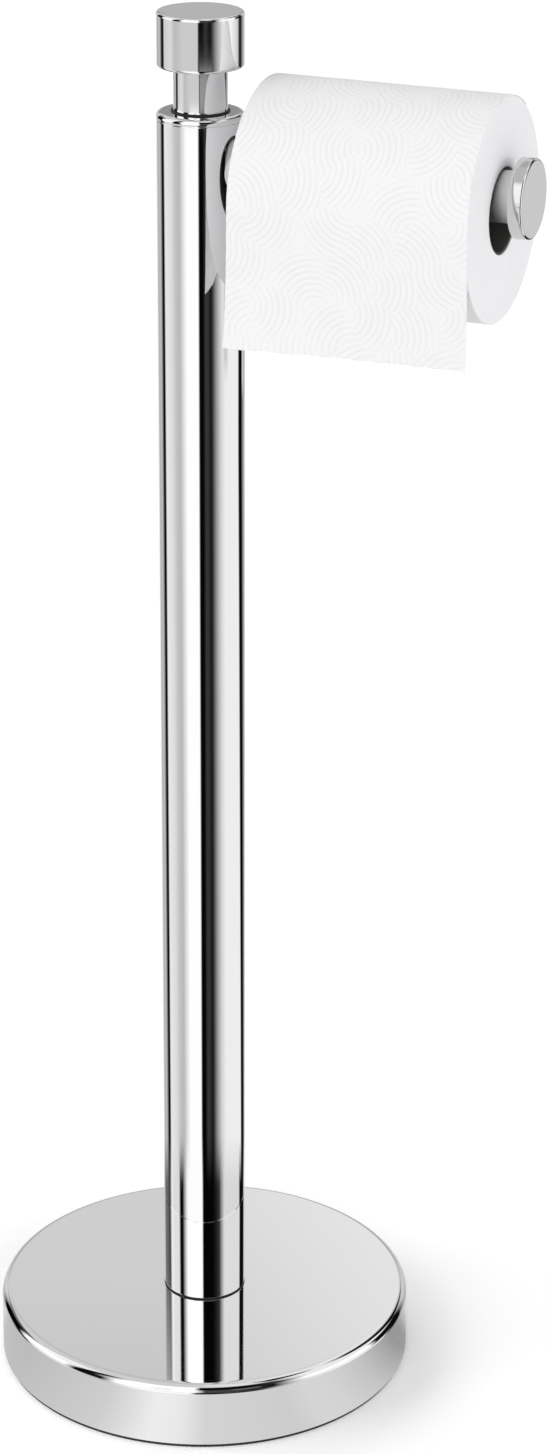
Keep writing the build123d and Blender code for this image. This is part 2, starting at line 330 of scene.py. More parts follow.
@dataclass(frozen=True)
class WoundCardboard(Finish):
    """Recycled grey board, wound on a slant: fibre flecks and a faint butt seam."""

    name: str = "wound_grey_board"
    colour: str = "#55534F"
    fleck_colour: str = "#3B3A37"
    roughness: float = 0.85
    fleck: float = 1.1 * MM
    fleck_stretch: float = 0.35
    seam_pitch: float = 46 * MM
    seam_slant: float = 35.0
    seam_share: float = 0.03
    relief: float = 0.08 * MM

    def surface(self, tree: Tree, place: Socket) -> dict[str, object]:
        """Add the flecks, drawn out along the fibres, and the seam.

        Args:
            tree: Node tree of the material.
            place: Socket with the place on the object, in metres.

        Returns:
            What goes into the shader, by the names of its sockets.
        """
        fibres = add_node(tree, "ShaderNodeMapping", Vector=place, Scale=(self.fleck_stretch, 1.0, 1.0))
        fleck = add_node(tree, "ShaderNodeTexNoise", Vector=fibres, Scale=1 / self.fleck, Detail=4.0)
        slant = add_node(
            tree, "ShaderNodeMapping", Vector=place, Rotation=(0.0, math.radians(self.seam_slant), 0.0),
        )
        seam = add_node(
            tree, "ShaderNodeTexWave", {"wave_profile": "SAW"}, Vector=slant,
            Scale=wave_scale(self.seam_pitch),
        )
        edge = add_node(
            tree, "ShaderNodeMath", {"operation": "GREATER_THAN"}, seam.outputs["Fac"], 1 - self.seam_share,
        )
        shade = add_node(tree, "ShaderNodeMath", {"operation": "MAXIMUM"}, fleck, edge)
        colour = cover(tree, linear(self.colour), linear(self.fleck_colour), shade)
        bump = add_node(tree, "ShaderNodeBump", Height=shade, Strength=0.4, Distance=self.relief)
        return {"Base_Color": colour, "Roughness": self.roughness, "Normal": bump}


@dataclass(frozen=True)
class EmbossedTissue(Finish):
    """Soft white two-ply tissue, embossed with fans of dotted arcs.

    The mesh's own relief carries the arcs. The UV map "fan_arcs" holds each place's distance
    from the eye of its fan, in metres, and its turn round that eye, in radians. From these
    the grooves are drawn again here with their dots, which are finer than the mesh. They are
    also coloured darker as painted shade, which stands in for the shadow in the grooves.
    """

    name: str = "embossed_two_ply_tissue"
    colour: str = "#F5F5F6"
    # Painted shade: the grooves are coloured darker to stand in for the shadow in them
    painted_groove_shade: str = "#ECECEE"
    dot_depth: float = 0.07 * MM
    dot_low: float = -0.6
    dot_high: float = 0.8
    fibre: float = 0.45 * MM
    fibre_depth: float = 0.03 * MM

    def surface(self, tree: Tree, place: Socket) -> dict[str, object]:
        """Add the dotted grooves and the fibres.

        Args:
            tree: Node tree of the material.
            place: Socket with the place on the object, in metres.

        Returns:
            What goes into the shader, by the names of its sockets.
        """
        fans = FanEmboss()
        arcs = add_node(tree, "ShaderNodeUVMap", {"uv_map": "fan_arcs"})
        reach, turn, _ = add_node(tree, "ShaderNodeSeparateXYZ", Vector=arcs).outputs
        rings = add_node(tree, "ShaderNodeMath", {"operation": "DIVIDE"}, reach, fans.arc_pitch)
        line = self.wave(tree, rings, 1 - 2 * fans.line_share, 1.0, 0.0)
        ring = add_node(tree, "ShaderNodeMath", {"operation": "ROUND"}, rings)
        along = add_node(tree, "ShaderNodeMath", TIMES, ring, turn)
        dots = add_node(tree, "ShaderNodeMath", TIMES, along, fans.arc_pitch / fans.dot_pitch)
        dot = self.wave(tree, dots, self.dot_low, self.dot_high, 1 - fans.dot_contrast)
        dotted = add_node(tree, "ShaderNodeMath", TIMES, line, dot)
        groove = add_node(tree, "ShaderNodeMath", TIMES, dotted, self.fade(tree, fans, reach, turn))
        # Painted shade: the grooves take the darker colour
        colour = cover(tree, linear(self.colour), linear(self.painted_groove_shade), groove)
        press = add_node(
            tree, "ShaderNodeBump", {"invert": True}, Height=groove, Strength=1.0, Distance=self.dot_depth,
        )
        fibres = add_node(tree, "ShaderNodeTexNoise", Vector=place, Scale=1 / self.fibre, Detail=3.0)
        bump = add_node(
            tree, "ShaderNodeBump", Height=fibres, Strength=0.6, Distance=self.fibre_depth, Normal=press,
        )
        return {"Base_Color": colour, "Roughness": 0.92, "Sheen_Weight": 0.12,
                "Sheen_Roughness": 0.6, "Specular_IOR_Level": 0.25, "Normal": bump}

    def fade(self, tree: Tree, fans: "FanEmboss", reach: Socket, turn: Socket) -> Node:
        """Work out how strongly a fan is pressed at a place.

        Args:
            tree: Node tree that receives the nodes.
            fans: Sizes of the fans.
            reach: Distance from the eye.
            turn: Turn round the eye.

        Returns:
            A node that is 1 in the middle of a fan and falls towards its border.
        """
        ahead = add_node(tree, "ShaderNodeMath", {"operation": "COSINE"}, turn)
        aside = add_node(tree, "ShaderNodeMath", {"operation": "SINE"}, turn)
        heading = add_node(tree, "ShaderNodeCombineXYZ", None, ahead, aside)
        place = add_node(tree, "ShaderNodeVectorMath", {"operation": "SCALE"}, heading, Scale=reach)
        middle = add_node(
            tree, "ShaderNodeVectorMath", {"operation": "DISTANCE"}, place, (fans.eye_offset, 0.0, 0.0),
        )
        return add_node(
            tree, "ShaderNodeMapRange", {"interpolation_type": "SMOOTHSTEP"},
            Value=middle.outputs["Value"], From_Min=fans.full_reach, From_Max=fans.faded_reach,
            To_Min=1.0, To_Max=fans.border_strength,
        )

    def wave(self, tree: Tree, turns: Node, start: float, end: float, least: float) -> Node:
        """Turn a count of waves into soft crests.

        Args:
            tree: Node tree that receives the nodes.
            turns: Node that grows by 1 for each wave.
            start: Level of the cosine where a crest begins.
            end: Level of the cosine where it is full.
            least: Value between the crests.

        Returns:
            A node that is 1 at each whole number of turns.
        """
        angle = add_node(tree, "ShaderNodeMath", TIMES, turns, 2 * math.pi)
        cosine = add_node(tree, "ShaderNodeMath", {"operation": "COSINE"}, angle)
        return add_node(
            tree, "ShaderNodeMapRange", {"interpolation_type": "SMOOTHSTEP"}, Value=cosine,
            From_Min=start, From_Max=end, To_Min=least, To_Max=1.0,
        )


@dataclass(frozen=True)
class WoundTissue(Finish):
    """The cut end of a wound roll: hundreds of tissue edges, seen as faint fine rings.

    The rings are drawn coarser than the real layers, so that they show.
    """

    axis: Vector
    name: str = "cut_end_of_wound_tissue"
    colour: str = "#F0F0F2"
    edge_colour: str = "#E2E2E4"
    layer_pitch: float = 0.9 * MM
    layer_depth: float = 0.05 * MM
    cloud_size: float = 22 * MM

    def surface(self, tree: Tree, place: Socket) -> dict[str, object]:
        """Add the rings round the roll's axis.

        Args:
            tree: Node tree of the material.
            place: Socket with the place on the object, in metres.

        Returns:
            What goes into the shader, by the names of its sockets.
        """
        centred = add_node(
            tree, "ShaderNodeMapping", {"vector_type": "POINT"}, Vector=place, Location=-self.axis,
        )
        rings = add_node(
            tree, "ShaderNodeTexWave", {"wave_type": "RINGS", "rings_direction": "X"}, Vector=centred,
            Scale=wave_scale(self.layer_pitch), Distortion=1.2, Detail=2.0, Detail_Scale=1.5,
        ).outputs["Fac"]
        cloud = add_node(tree, "ShaderNodeTexNoise", Vector=place, Scale=1 / self.cloud_size, Detail=2.0)
        colour = cover(tree, linear(self.colour), linear(self.edge_colour), rings, cloud)
        bump = add_node(tree, "ShaderNodeBump", Height=rings, Strength=0.5, Distance=self.layer_depth)
        return {"Base_Color": colour, "Roughness": 0.95, "Specular_IOR_Level": 0.2, "Normal": bump}


class Palette:
    """Every finish of the holder, built once and handed to the pieces."""

    def __init__(self, roll_axis: Vector) -> None:
        """Build the materials.

        Args:
            roll_axis: Any point on the axis of the paper roll.
        """
        self.by_slot = {
            Slot.CHROME: PolishedChrome().build(),
            Slot.IRON: PaintedIron().build(),
            Slot.ZINC: ZincSteel().build(),
            Slot.RUBBER: BlackRubber().build(),
            Slot.CARDBOARD: WoundCardboard().build(),
            Slot.TISSUE: EmbossedTissue().build(),
        }
        self.cut_end = WoundTissue(roll_axis).build()
        # A darker copy of the same plate for the rim of the end cap: painted shade that greys the rim's
        # reflections
        self.rim_painted_shade_chrome = PolishedChrome(name="end_cap_rim_painted_shade", colour="#D4D4D4").build()
        # The same plate on a brushed tube, rougher, so that the arm is an even soft grey; its darker colour
        # is painted shade that greys the arm's reflections
        self.satin_painted_shade_chrome = PolishedChrome(
            name="satin_chrome_plate_painted_shade", colour="#DEDEDE", roughness_low=0.46, roughness_high=0.56,
        ).build()

    def dress_nodes(self, slot: Slot, *names: str) -> None:
        """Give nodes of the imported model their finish.

        Args:
            slot: The finish.
            *names: The nodes' names.
        """
        for name in names:
            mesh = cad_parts[name].data
            mesh.materials.clear()
            mesh.materials.append(self.by_slot[slot])
            log.info("dressed node %s in %s", name, slot.value)

    def dress_piece(self, piece: Piece, slot: Slot, body: Body, node: str) -> None:
        """Give a new piece its finish, its body and the node that it stands for.

        Args:
            piece: The new piece, in place.
            slot: Its finish.
            body: The body that it rides on.
            node: Name of the node that it replaces.
        """
        if not piece.data.materials:
            piece.data.materials.append(self.by_slot[slot])
        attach(piece, body.value)
        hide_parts(node)
        log.info("built piece %s with %d faces", piece.name, len(piece.data.polygons))


def deselect_all() -> None:
    """Leave edit mode if needed and deselect every object."""
    if bpy.context.object and bpy.context.object.mode != "OBJECT":
        bpy.ops.object.mode_set(mode="OBJECT")
    bpy.ops.object.select_all(action="DESELECT")


def smooth_step(value: float, start: float, end: float) -> float:
    """Return a share that rises smoothly from 0 at the start to 1 at the end."""
    share = min(1.0, max(0.0, (value - start) / (end - start)))
    return share * share * (3 - 2 * share)


@dataclass(frozen=True)
class Corner:
    """One corner of a turned profile, with the radius and the segments of its rounding."""

    radius: float
    along: float
    rounding: float = 0.0
    segments: int = 0


@dataclass
class Turning:
    """A piece that is turned on a lathe, from a profile drawn beside its axis.

    The profile of a ring comes back to its first corner. Any other ends where its last
    corner is. Hold points keep the flat faces straight beside a corner, and a side has room
    for one if it is hold_room times as long as the point is far from the corner.
    """

    name: str
    corners: list[Corner]
    ring: bool = False
    centre: Vector = field(default_factory=Vector)
    axis: Vector = field(default_factory=lambda: Vector((0, 0, 1)))
    steps: int = 192
    hold: float = 0.25 * MM
    hold_room: float = 2.5
    weld_gap: float = 0.001 * MM
    smooth_angle: float = 24.0

    def place(self, corner: Corner) -> Vector:
        """Return where a corner of the profile lies."""
        sideways = Vector((1, 0, 0)) if abs(self.axis.z) > 0.5 else Vector((0, -1, 0))
        return self.centre + self.axis * corner.along + sideways * corner.radius

    def route(self) -> list[tuple[Vector, Corner | None]]:
        """Lay out the profile, with a hold point beside every corner that has room for one.

        Returns:
            The profile's points, each with its corner, or with none for a hold point.
        """
        corners = self.corners + self.corners[:1] if self.ring else self.corners
        places = [self.place(corner) for corner in corners]
        points = []
        for corner, here, before, after in zip(corners, places, [None, *places], [*places[1:], None]):
            points += self.hold_point(corner, here, before)
            points.append((here, corner))
            points += self.hold_point(corner, here, after)
        return points

    def hold_point(self, corner: Corner, here: Vector, other: Vector | None) -> list[tuple[Vector, None]]:
        """Set a point that holds the profile straight beside a corner.

        Args:
            corner: The corner.
            here: Its place.
            other: Place of the next corner on that side, if there is one.

        Returns:
            The point, or nothing where there is no room for it.
        """
        reach = corner.rounding + self.hold
        if other is None or corner.radius == 0 or (other - here).length <= self.hold_room * reach:
            return []
        return [(here + (other - here).normalized() * reach, None)]

    def build(self) -> Piece:
        """Draw the profile, round its corners and spin it.

        Returns:
            The new piece, in place.
        """
        route = self.route()
        deselect_all()
        bpy.ops.mesh.primitive_plane_add(size=1 * MM, location=route[0][0])
        piece = bpy.context.object
        piece.name = self.name
        piece.data.name = self.name
        bpy.ops.object.transform_apply(location=True, rotation=True, scale=True)
        bpy.ops.object.mode_set(mode="EDIT")
        bpy.ops.mesh.select_mode(type="VERT")
        bpy.ops.mesh.select_all(action="SELECT")
        bpy.ops.mesh.merge(type="CENTER")
        for (start, _), (end, _) in zip(route, route[1:]):
            bpy.ops.mesh.extrude_region_move(TRANSFORM_OT_translate={"value": end - start})
        for point, corner in route:
            if corner and corner.rounding > 0:
                self.round_corner(piece.data, point, corner)
        bpy.ops.mesh.select_all(action="SELECT")
        bpy.ops.mesh.spin(
            steps=self.steps, angle=2 * math.pi, center=self.centre, axis=self.axis,
            use_auto_merge=True,
        )
        bpy.ops.mesh.select_all(action="SELECT")
        bpy.ops.mesh.remove_doubles(threshold=self.weld_gap)
        bpy.ops.mesh.normals_make_consistent(inside=False)
        bpy.ops.object.mode_set(mode="OBJECT")
        bpy.ops.object.shade_smooth_by_angle(angle=math.radians(self.smooth_angle))
        return piece

    def round_corner(self, mesh: Mesh, point: Vector, corner: Corner) -> None:
        """Round one corner of the drawn profile.

        Args:
            mesh: The mesh that is being edited.
            point: The corner's place.
            corner: The corner, with its rounding.
        """
        bpy.ops.object.mode_set(mode="OBJECT")
        nearest = min(mesh.vertices, key=lambda vertex: (vertex.co - point).length)
        for vertex in mesh.vertices:
            vertex.select = vertex.index == nearest.index
        for edge in mesh.edges:
            edge.select = False
        bpy.ops.object.mode_set(mode="EDIT")
        bpy.ops.mesh.bevel(
            offset=corner.rounding, offset_type="OFFSET", segments=corner.segments, affect="VERTICES",
        )


@dataclass
class Base:
    """The weighted foot: spun cover, non-slip pad, and the ballast and bolt inside."""

    wall: float = 1.2 * MM
    shoulder_radius: float = 4.4 * MM
    hem_radius: float = 0.25 * MM
    bolt_hole_radius: float = 5.25 * MM
    pad_edge_radius: float = 0.4 * MM

    def build(self, palette: Palette) -> None:
        """Build and dress the base.

        Args:
            palette: The finishes.
        """
        palette.dress_piece(self.cover(), Slot.CHROME, Body.STAND, "base_cover")
        palette.dress_piece(self.pad(), Slot.RUBBER, Body.STAND, "foot_pad")
        palette.dress_nodes(Slot.IRON, "base_weight")
        palette.dress_nodes(Slot.ZINC, "base_bolt", "base_lock_washer", "base_washer")

    def cover(self) -> Piece:
        """Make the spun cover, a thin shell with a rounded shoulder and an open underside.

        Returns:
            The new piece, in place.
        """
        low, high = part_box("base_cover")
        inner_radius = high.x - self.wall
        ceiling = high.z - self.wall
        return Turning("base_cover_shell", [
            Corner(self.bolt_hole_radius, high.z),
            Corner(high.x, high.z, self.shoulder_radius, 20),
            Corner(high.x, low.z, self.hem_radius, 4),
            Corner(inner_radius, low.z, self.hem_radius, 4),
            Corner(inner_radius, ceiling, self.shoulder_radius - self.wall, 12),
            Corner(self.bolt_hole_radius, ceiling),
        ], ring=True).build()

    def pad(self) -> Piece:
        """Make the non-slip pad, a disc with softened edges.

        Returns:
            The new piece, in place.
        """
        low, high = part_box("foot_pad")
        return Turning("foot_pad_disc", [
            Corner(0.0, high.z),
            Corner(high.x, high.z, self.pad_edge_radius, 4),
            Corner(high.x, low.z, self.pad_edge_radius, 4),
            Corner(0.0, low.z),
        ]).build()


@dataclass
class Column:
    """The upright: gasket, tube and rounded top cap, with its plug and anchor block inside."""

    wall: float = 1.5 * MM
    cut_edge_radius: float = 0.12 * MM
    gasket_edge_radius: float = 0.25 * MM
    gasket_squeeze: float = 0.3 * MM
    gasket_hole_radius: float = 5.25 * MM
    cap_edge_radius: float = 2.2 * MM
    cap_spigot_length: float = 6.0 * MM
    cap_spigot_clearance: float = 0.05 * MM
    cap_hole_radius: float = 4.05 * MM
    gasket_hold: float = 0.1 * MM
    steps: int = 256

    def build(self, palette: Palette) -> None:
        """Build and dress the column.

        Args:
            palette: The finishes.
        """
        palette.dress_piece(self.gasket(), Slot.RUBBER, Body.STAND, "column_gasket")
        palette.dress_piece(self.tube(), Slot.CHROME, Body.STAND, "column_tube")
        palette.dress_piece(self.top_cap(), Slot.CHROME, Body.STAND, "column_top_cap")
        palette.dress_nodes(Slot.ZINC, "column_foot_plug", "arm_anchor_block")

    def gasket(self) -> Piece:
        """Make the thin dark ring under the column.

        Returns:
            The new piece, in place.
        """
        low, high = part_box("column_gasket")
        return Turning("column_gasket_ring", [
            Corner(self.gasket_hole_radius, high.z),
            Corner(high.x - self.gasket_squeeze, high.z, self.gasket_edge_radius, 4),
            Corner(high.x - self.gasket_squeeze, low.z, self.gasket_edge_radius, 4),
            Corner(self.gasket_hole_radius, low.z),
        ], ring=True, hold=self.gasket_hold).build()

    def tube(self) -> Piece:
        """Make the column tube.

        Returns:
            The new piece, in place.
        """
        low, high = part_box("column_tube")
        bore = high.x - self.wall
        return Turning("column_tube_polished", [
            Corner(bore, high.z),
            Corner(high.x, high.z, self.cut_edge_radius, 3),
            Corner(high.x, low.z, self.cut_edge_radius, 3),
            Corner(bore, low.z),
        ], ring=True, steps=self.steps).build()

    def top_cap(self) -> Piece:
        """Make the cap that closes the column, with its spigot inside the tube.

        Returns:
            The new piece, in place.
        """
        low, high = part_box("column_top_cap")
        seat = low.z + self.cap_spigot_length
        spigot_radius = high.x - self.wall - self.cap_spigot_clearance
        return Turning("column_top_cap_polished", [
            Corner(self.cap_hole_radius, high.z),
            Corner(high.x, high.z, self.cap_edge_radius, 14),
            Corner(high.x, seat, self.cut_edge_radius, 3),
            Corner(spigot_radius, seat),
            Corner(spigot_radius, low.z, self.cut_edge_radius, 3),
            Corner(self.cap_hole_radius, low.z),
        ], ring=True, steps=self.steps).build()


@dataclass
class Finial:
    """The knob on its neck, with a dark washer below and a stud inside."""

    washer_edge_radius: float = 0.15 * MM
    skirt_depth: float = 0.7 * MM
    skirt_wall: float = 0.6 * MM
    stud_hole_radius: float = 4.25 * MM
    thread_radius: float = 4.05 * MM
    thread_depth: float = 14.0 * MM
    neck_edge_radius: float = 0.3 * MM
    knob_edge_radius: float = 1.3 * MM
    hold: float = 0.1 * MM

    def build(self, palette: Palette) -> None:
        """Build and dress the finial.

        Args:
            palette: The finishes.
        """
        palette.dress_piece(self.washer(), Slot.RUBBER, Body.STAND, "finial_washer")
        palette.dress_piece(self.neck(), Slot.CHROME, Body.STAND, "finial_neck")
        palette.dress_piece(self.knob(), Slot.CHROME, Body.STAND, "finial_knob")
        palette.dress_nodes(Slot.ZINC, "finial_stud")

    def washer(self) -> Piece:
        """Make the dark washer, with a lip that shows below the neck's skirt.

        Returns:
            The new piece, in place.
        """
        low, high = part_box("finial_washer")
        _, neck_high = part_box("finial_neck")
        return Turning("finial_washer_ring", [
            Corner(self.stud_hole_radius, high.z),
            Corner(neck_high.x - self.skirt_wall, high.z),
            Corner(neck_high.x - self.skirt_wall, high.z - self.skirt_depth),
            Corner(high.x, high.z - self.skirt_depth, self.washer_edge_radius, 4),
            Corner(high.x, low.z, self.washer_edge_radius, 4),
            Corner(self.stud_hole_radius, low.z),
        ], ring=True, hold=self.hold).build()

    def neck(self) -> Piece:
        """Make the turned neck, with the shallow skirt that hides most of the washer.

        Returns:
            The new piece, in place.
        """
        low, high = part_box("finial_neck")
        return Turning("finial_neck_polished", [
            Corner(self.stud_hole_radius, high.z),
            Corner(high.x, high.z),
            Corner(high.x, low.z - self.skirt_depth, self.neck_edge_radius, 5),
            Corner(high.x - self.skirt_wall, low.z - self.skirt_depth),
            Corner(high.x - self.skirt_wall, low.z),
            Corner(self.stud_hole_radius, low.z),
        ], ring=True, hold=self.hold).build()

    def knob(self) -> Piece:
        """Make the knob, a thick disc with a blind hole below.

        Returns:
            The new piece, in place.
        """
        low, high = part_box("finial_knob")
        return Turning("finial_knob_polished", [
            Corner(0.0, high.z),
            Corner(high.x, high.z, self.knob_edge_radius, 12),
            Corner(high.x, low.z, self.knob_edge_radius, 12),
            Corner(self.thread_radius, low.z),
            Corner(self.thread_radius, low.z + self.thread_depth),
            Corner(0.0, low.z + self.thread_depth),
        ]).build()


@dataclass
class Arm:
    """The side arm and its end cap, with the plugs and studs inside."""

    wall: float = 1.5 * MM
    cut_edge_radius: float = 0.2 * MM
    cap_front_radius: float = 1.0 * MM
    cap_back_radius: float = 0.4 * MM
    rim_slope: float = 0.3
    cap_thread_radius: float = 3.05 * MM
    cap_thread_depth: float = 4.0 * MM

    def build(self, palette: Palette) -> None:
        """Build and dress the arm.

        Args:
            palette: The finishes.
        """
        tube = self.tube()
        # The arm takes the satin copy of the plate, whose darker colour is painted shade
        tube.data.materials.append(palette.satin_painted_shade_chrome)
        palette.dress_piece(tube, Slot.CHROME, Body.STAND, "arm_tube")
        cap = self.end_cap()
        cap.data.materials.append(palette.by_slot[Slot.CHROME])
        # The rim's faces take the darker copy of the plate, as painted shade
        cap.data.materials.append(palette.rim_painted_shade_chrome)
        for face in cap.data.polygons:
            face.material_index = int(abs(face.normal.x) < self.rim_slope)
        palette.dress_piece(cap, Slot.CHROME, Body.STAND, "arm_end_cap")
        palette.dress_nodes(Slot.ZINC, "arm_root_plug", "arm_stud", "arm_end_plug", "arm_cap_stud")

    def axis_point(self, low: Vector, high: Vector) -> Vector:
        """Return where the axis of a piece of the arm, given by its box, passes the column."""
        return Vector((0, (low.y + high.y) / 2, (low.z + high.z) / 2))

    def tube(self) -> Piece:
        """Make the arm tube.

        Returns:
            The new piece, in place.
        """
        low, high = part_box("arm_tube")
        radius = (high.y - low.y) / 2
        bore = radius - self.wall
        return Turning("arm_tube_polished", [
            Corner(bore, high.x),
            Corner(radius, high.x, self.cut_edge_radius, 3),
            Corner(radius, low.x, self.cut_edge_radius, 3),
            Corner(bore, low.x),
        ], ring=True, centre=self.axis_point(low, high), axis=ALONG_ARM).build()

    def end_cap(self) -> Piece:
        """Make the end cap, a disc with a blind hole behind.

        Returns:
            The new piece, in place.
        """
        low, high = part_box("arm_end_cap")
        radius = (high.y - low.y) / 2
        return Turning("arm_end_cap_polished", [
            Corner(0.0, high.x),
            Corner(radius, high.x, self.cap_front_radius, 12),
            Corner(radius, low.x, self.cap_back_radius, 6),
            Corner(self.cap_thread_radius, low.x),
            Corner(self.cap_thread_radius, low.x + self.cap_thread_depth),
            Corner(0.0, low.x + self.cap_thread_depth),
        ], centre=self.axis_point(low, high), axis=ALONG_ARM).build()


@dataclass(frozen=True)
class Fan:
    """One fan of the embossing: its middle, the eye that its arcs go round, and its heading."""

    across: float
    along: float
    eye_across: float
    eye_along: float
    heading: float

    def arc_place(self, across: float, along: float) -> tuple[float, float]:
        """Measure a place from the eye of the fan.

        Args:
            across: Place across the paper.
            along: Place along the paper.

        Returns:
            Its distance from the eye, and its turn round the eye from the heading.
        """
        aside, ahead = across - self.eye_across, along - self.eye_along
        turn = math.atan2(ahead, aside) - self.heading
        return math.hypot(aside, ahead), (turn + math.pi) % (2 * math.pi) - math.pi


Layout = dict[tuple[int, int], list[Fan]]


@dataclass(frozen=True)
class FanEmboss:
    """The embossing of the tissue: fans of dotted concentric arcs, turned this way and that."""

    spacing: float = 22.0 * MM
    jitter: float = 0.18
    eye_offset: float = 14.5 * MM
    arc_pitch: float = 2.7 * MM
    line_share: float = 0.5
    dot_pitch: float = 1.7 * MM
    dot_contrast: float = 0.55
    full_reach: float = 6.0 * MM
    faded_reach: float = 14.5 * MM
    border_strength: float = 0.35
    headings: tuple[int, ...] = (20, 150, 215, 330)
    heading_spread: float = 28.0
    seed: int = 11

    def lay_out(self, width: float, length: float) -> Layout:
        """Lay out the fans in staggered rows, as far as a little beyond the paper's edges.

        Args:
            width: Width of the paper.
            length: Length of the paper.

        Returns:
            The fans of each square of the paper, one spacing wide.
        """
        rng = random.Random(self.seed)
        row_step = self.spacing * math.sin(math.radians(60))
        fans: Layout = {}
        for row in range(-1, int(length / row_step) + 3):
            for column in range(-1, int(width / self.spacing) + 3):
                across = (column + 0.5 * (row % 2)) * self.spacing
                across += rng.uniform(-self.jitter, self.jitter) * self.spacing
                along = row * row_step + rng.uniform(-self.jitter, self.jitter) * self.spacing
                turn = rng.choice(self.headings) + rng.uniform(-self.heading_spread, self.heading_spread)
                heading = math.radians(turn)
                fan = Fan(
                    across, along, across - self.eye_offset * math.cos(heading),
                    along - self.eye_offset * math.sin(heading), heading,
                )
                fans.setdefault(self.square(across, along), []).append(fan)
        return fans

    def square(self, across: float, along: float) -> tuple[int, int]:
        """Return the square of the paper that a place lies in."""
        return math.floor(across / self.spacing), math.floor(along / self.spacing)

    def owner(self, across: float, along: float, fans: Layout) -> Fan:
        """Return the fan whose middle is nearest to a place.

        Args:
            across: Place across the paper.
            along: Place along the paper.
            fans: The layout of the fans.

        Returns:
            The nearest fan.
        """
        column, row = self.square(across, along)
        near = [
            fan for side in (-1, 0, 1) for ahead in (-1, 0, 1)
            for fan in fans.get((column + side, row + ahead), ())
        ]
        return min(near, key=lambda fan: (fan.across - across) ** 2 + (fan.along - along) ** 2)

    def depth(self, across: float, along: float, fans: Layout) -> float:
        """Return how deep the paper is pressed at a place.

        Args:
            across: Place across the paper.
            along: Place along the paper.
            fans: The layout of the fans.

        Returns:
            0 on the flat face, 1 at the bottom of a groove.
        """
        fan = self.owner(across, along, fans)
        reach, _ = fan.arc_place(across, along)
        wave = math.cos(2 * math.pi * reach / self.arc_pitch)
        middle = math.hypot(across - fan.across, along - fan.along)
        fade = smooth_step(middle, self.full_reach, self.faded_reach)
        return smooth_step(wave, 1 - 2 * self.line_share, 1.0) * (1 - (1 - self.border_strength) * fade)

    def map_arcs(self, mesh: Mesh, places: list[tuple[float, float]], fans: Layout) -> None:
        """Store the UV map "fan_arcs", each face by the fan that its first corner lies in.

        Args:
            mesh: The paper's mesh.
            places: Each vertex's place across and along the paper.
            fans: The layout of the fans.
        """
        arcs = mesh.uv_layers.new(name="fan_arcs")
        for face in mesh.polygons:
            fan = self.owner(*places[face.vertices[0]], fans)
            for loop in face.loop_indices:
                arcs.data[loop].uv = fan.arc_place(*places[mesh.loops[loop].vertex_index])


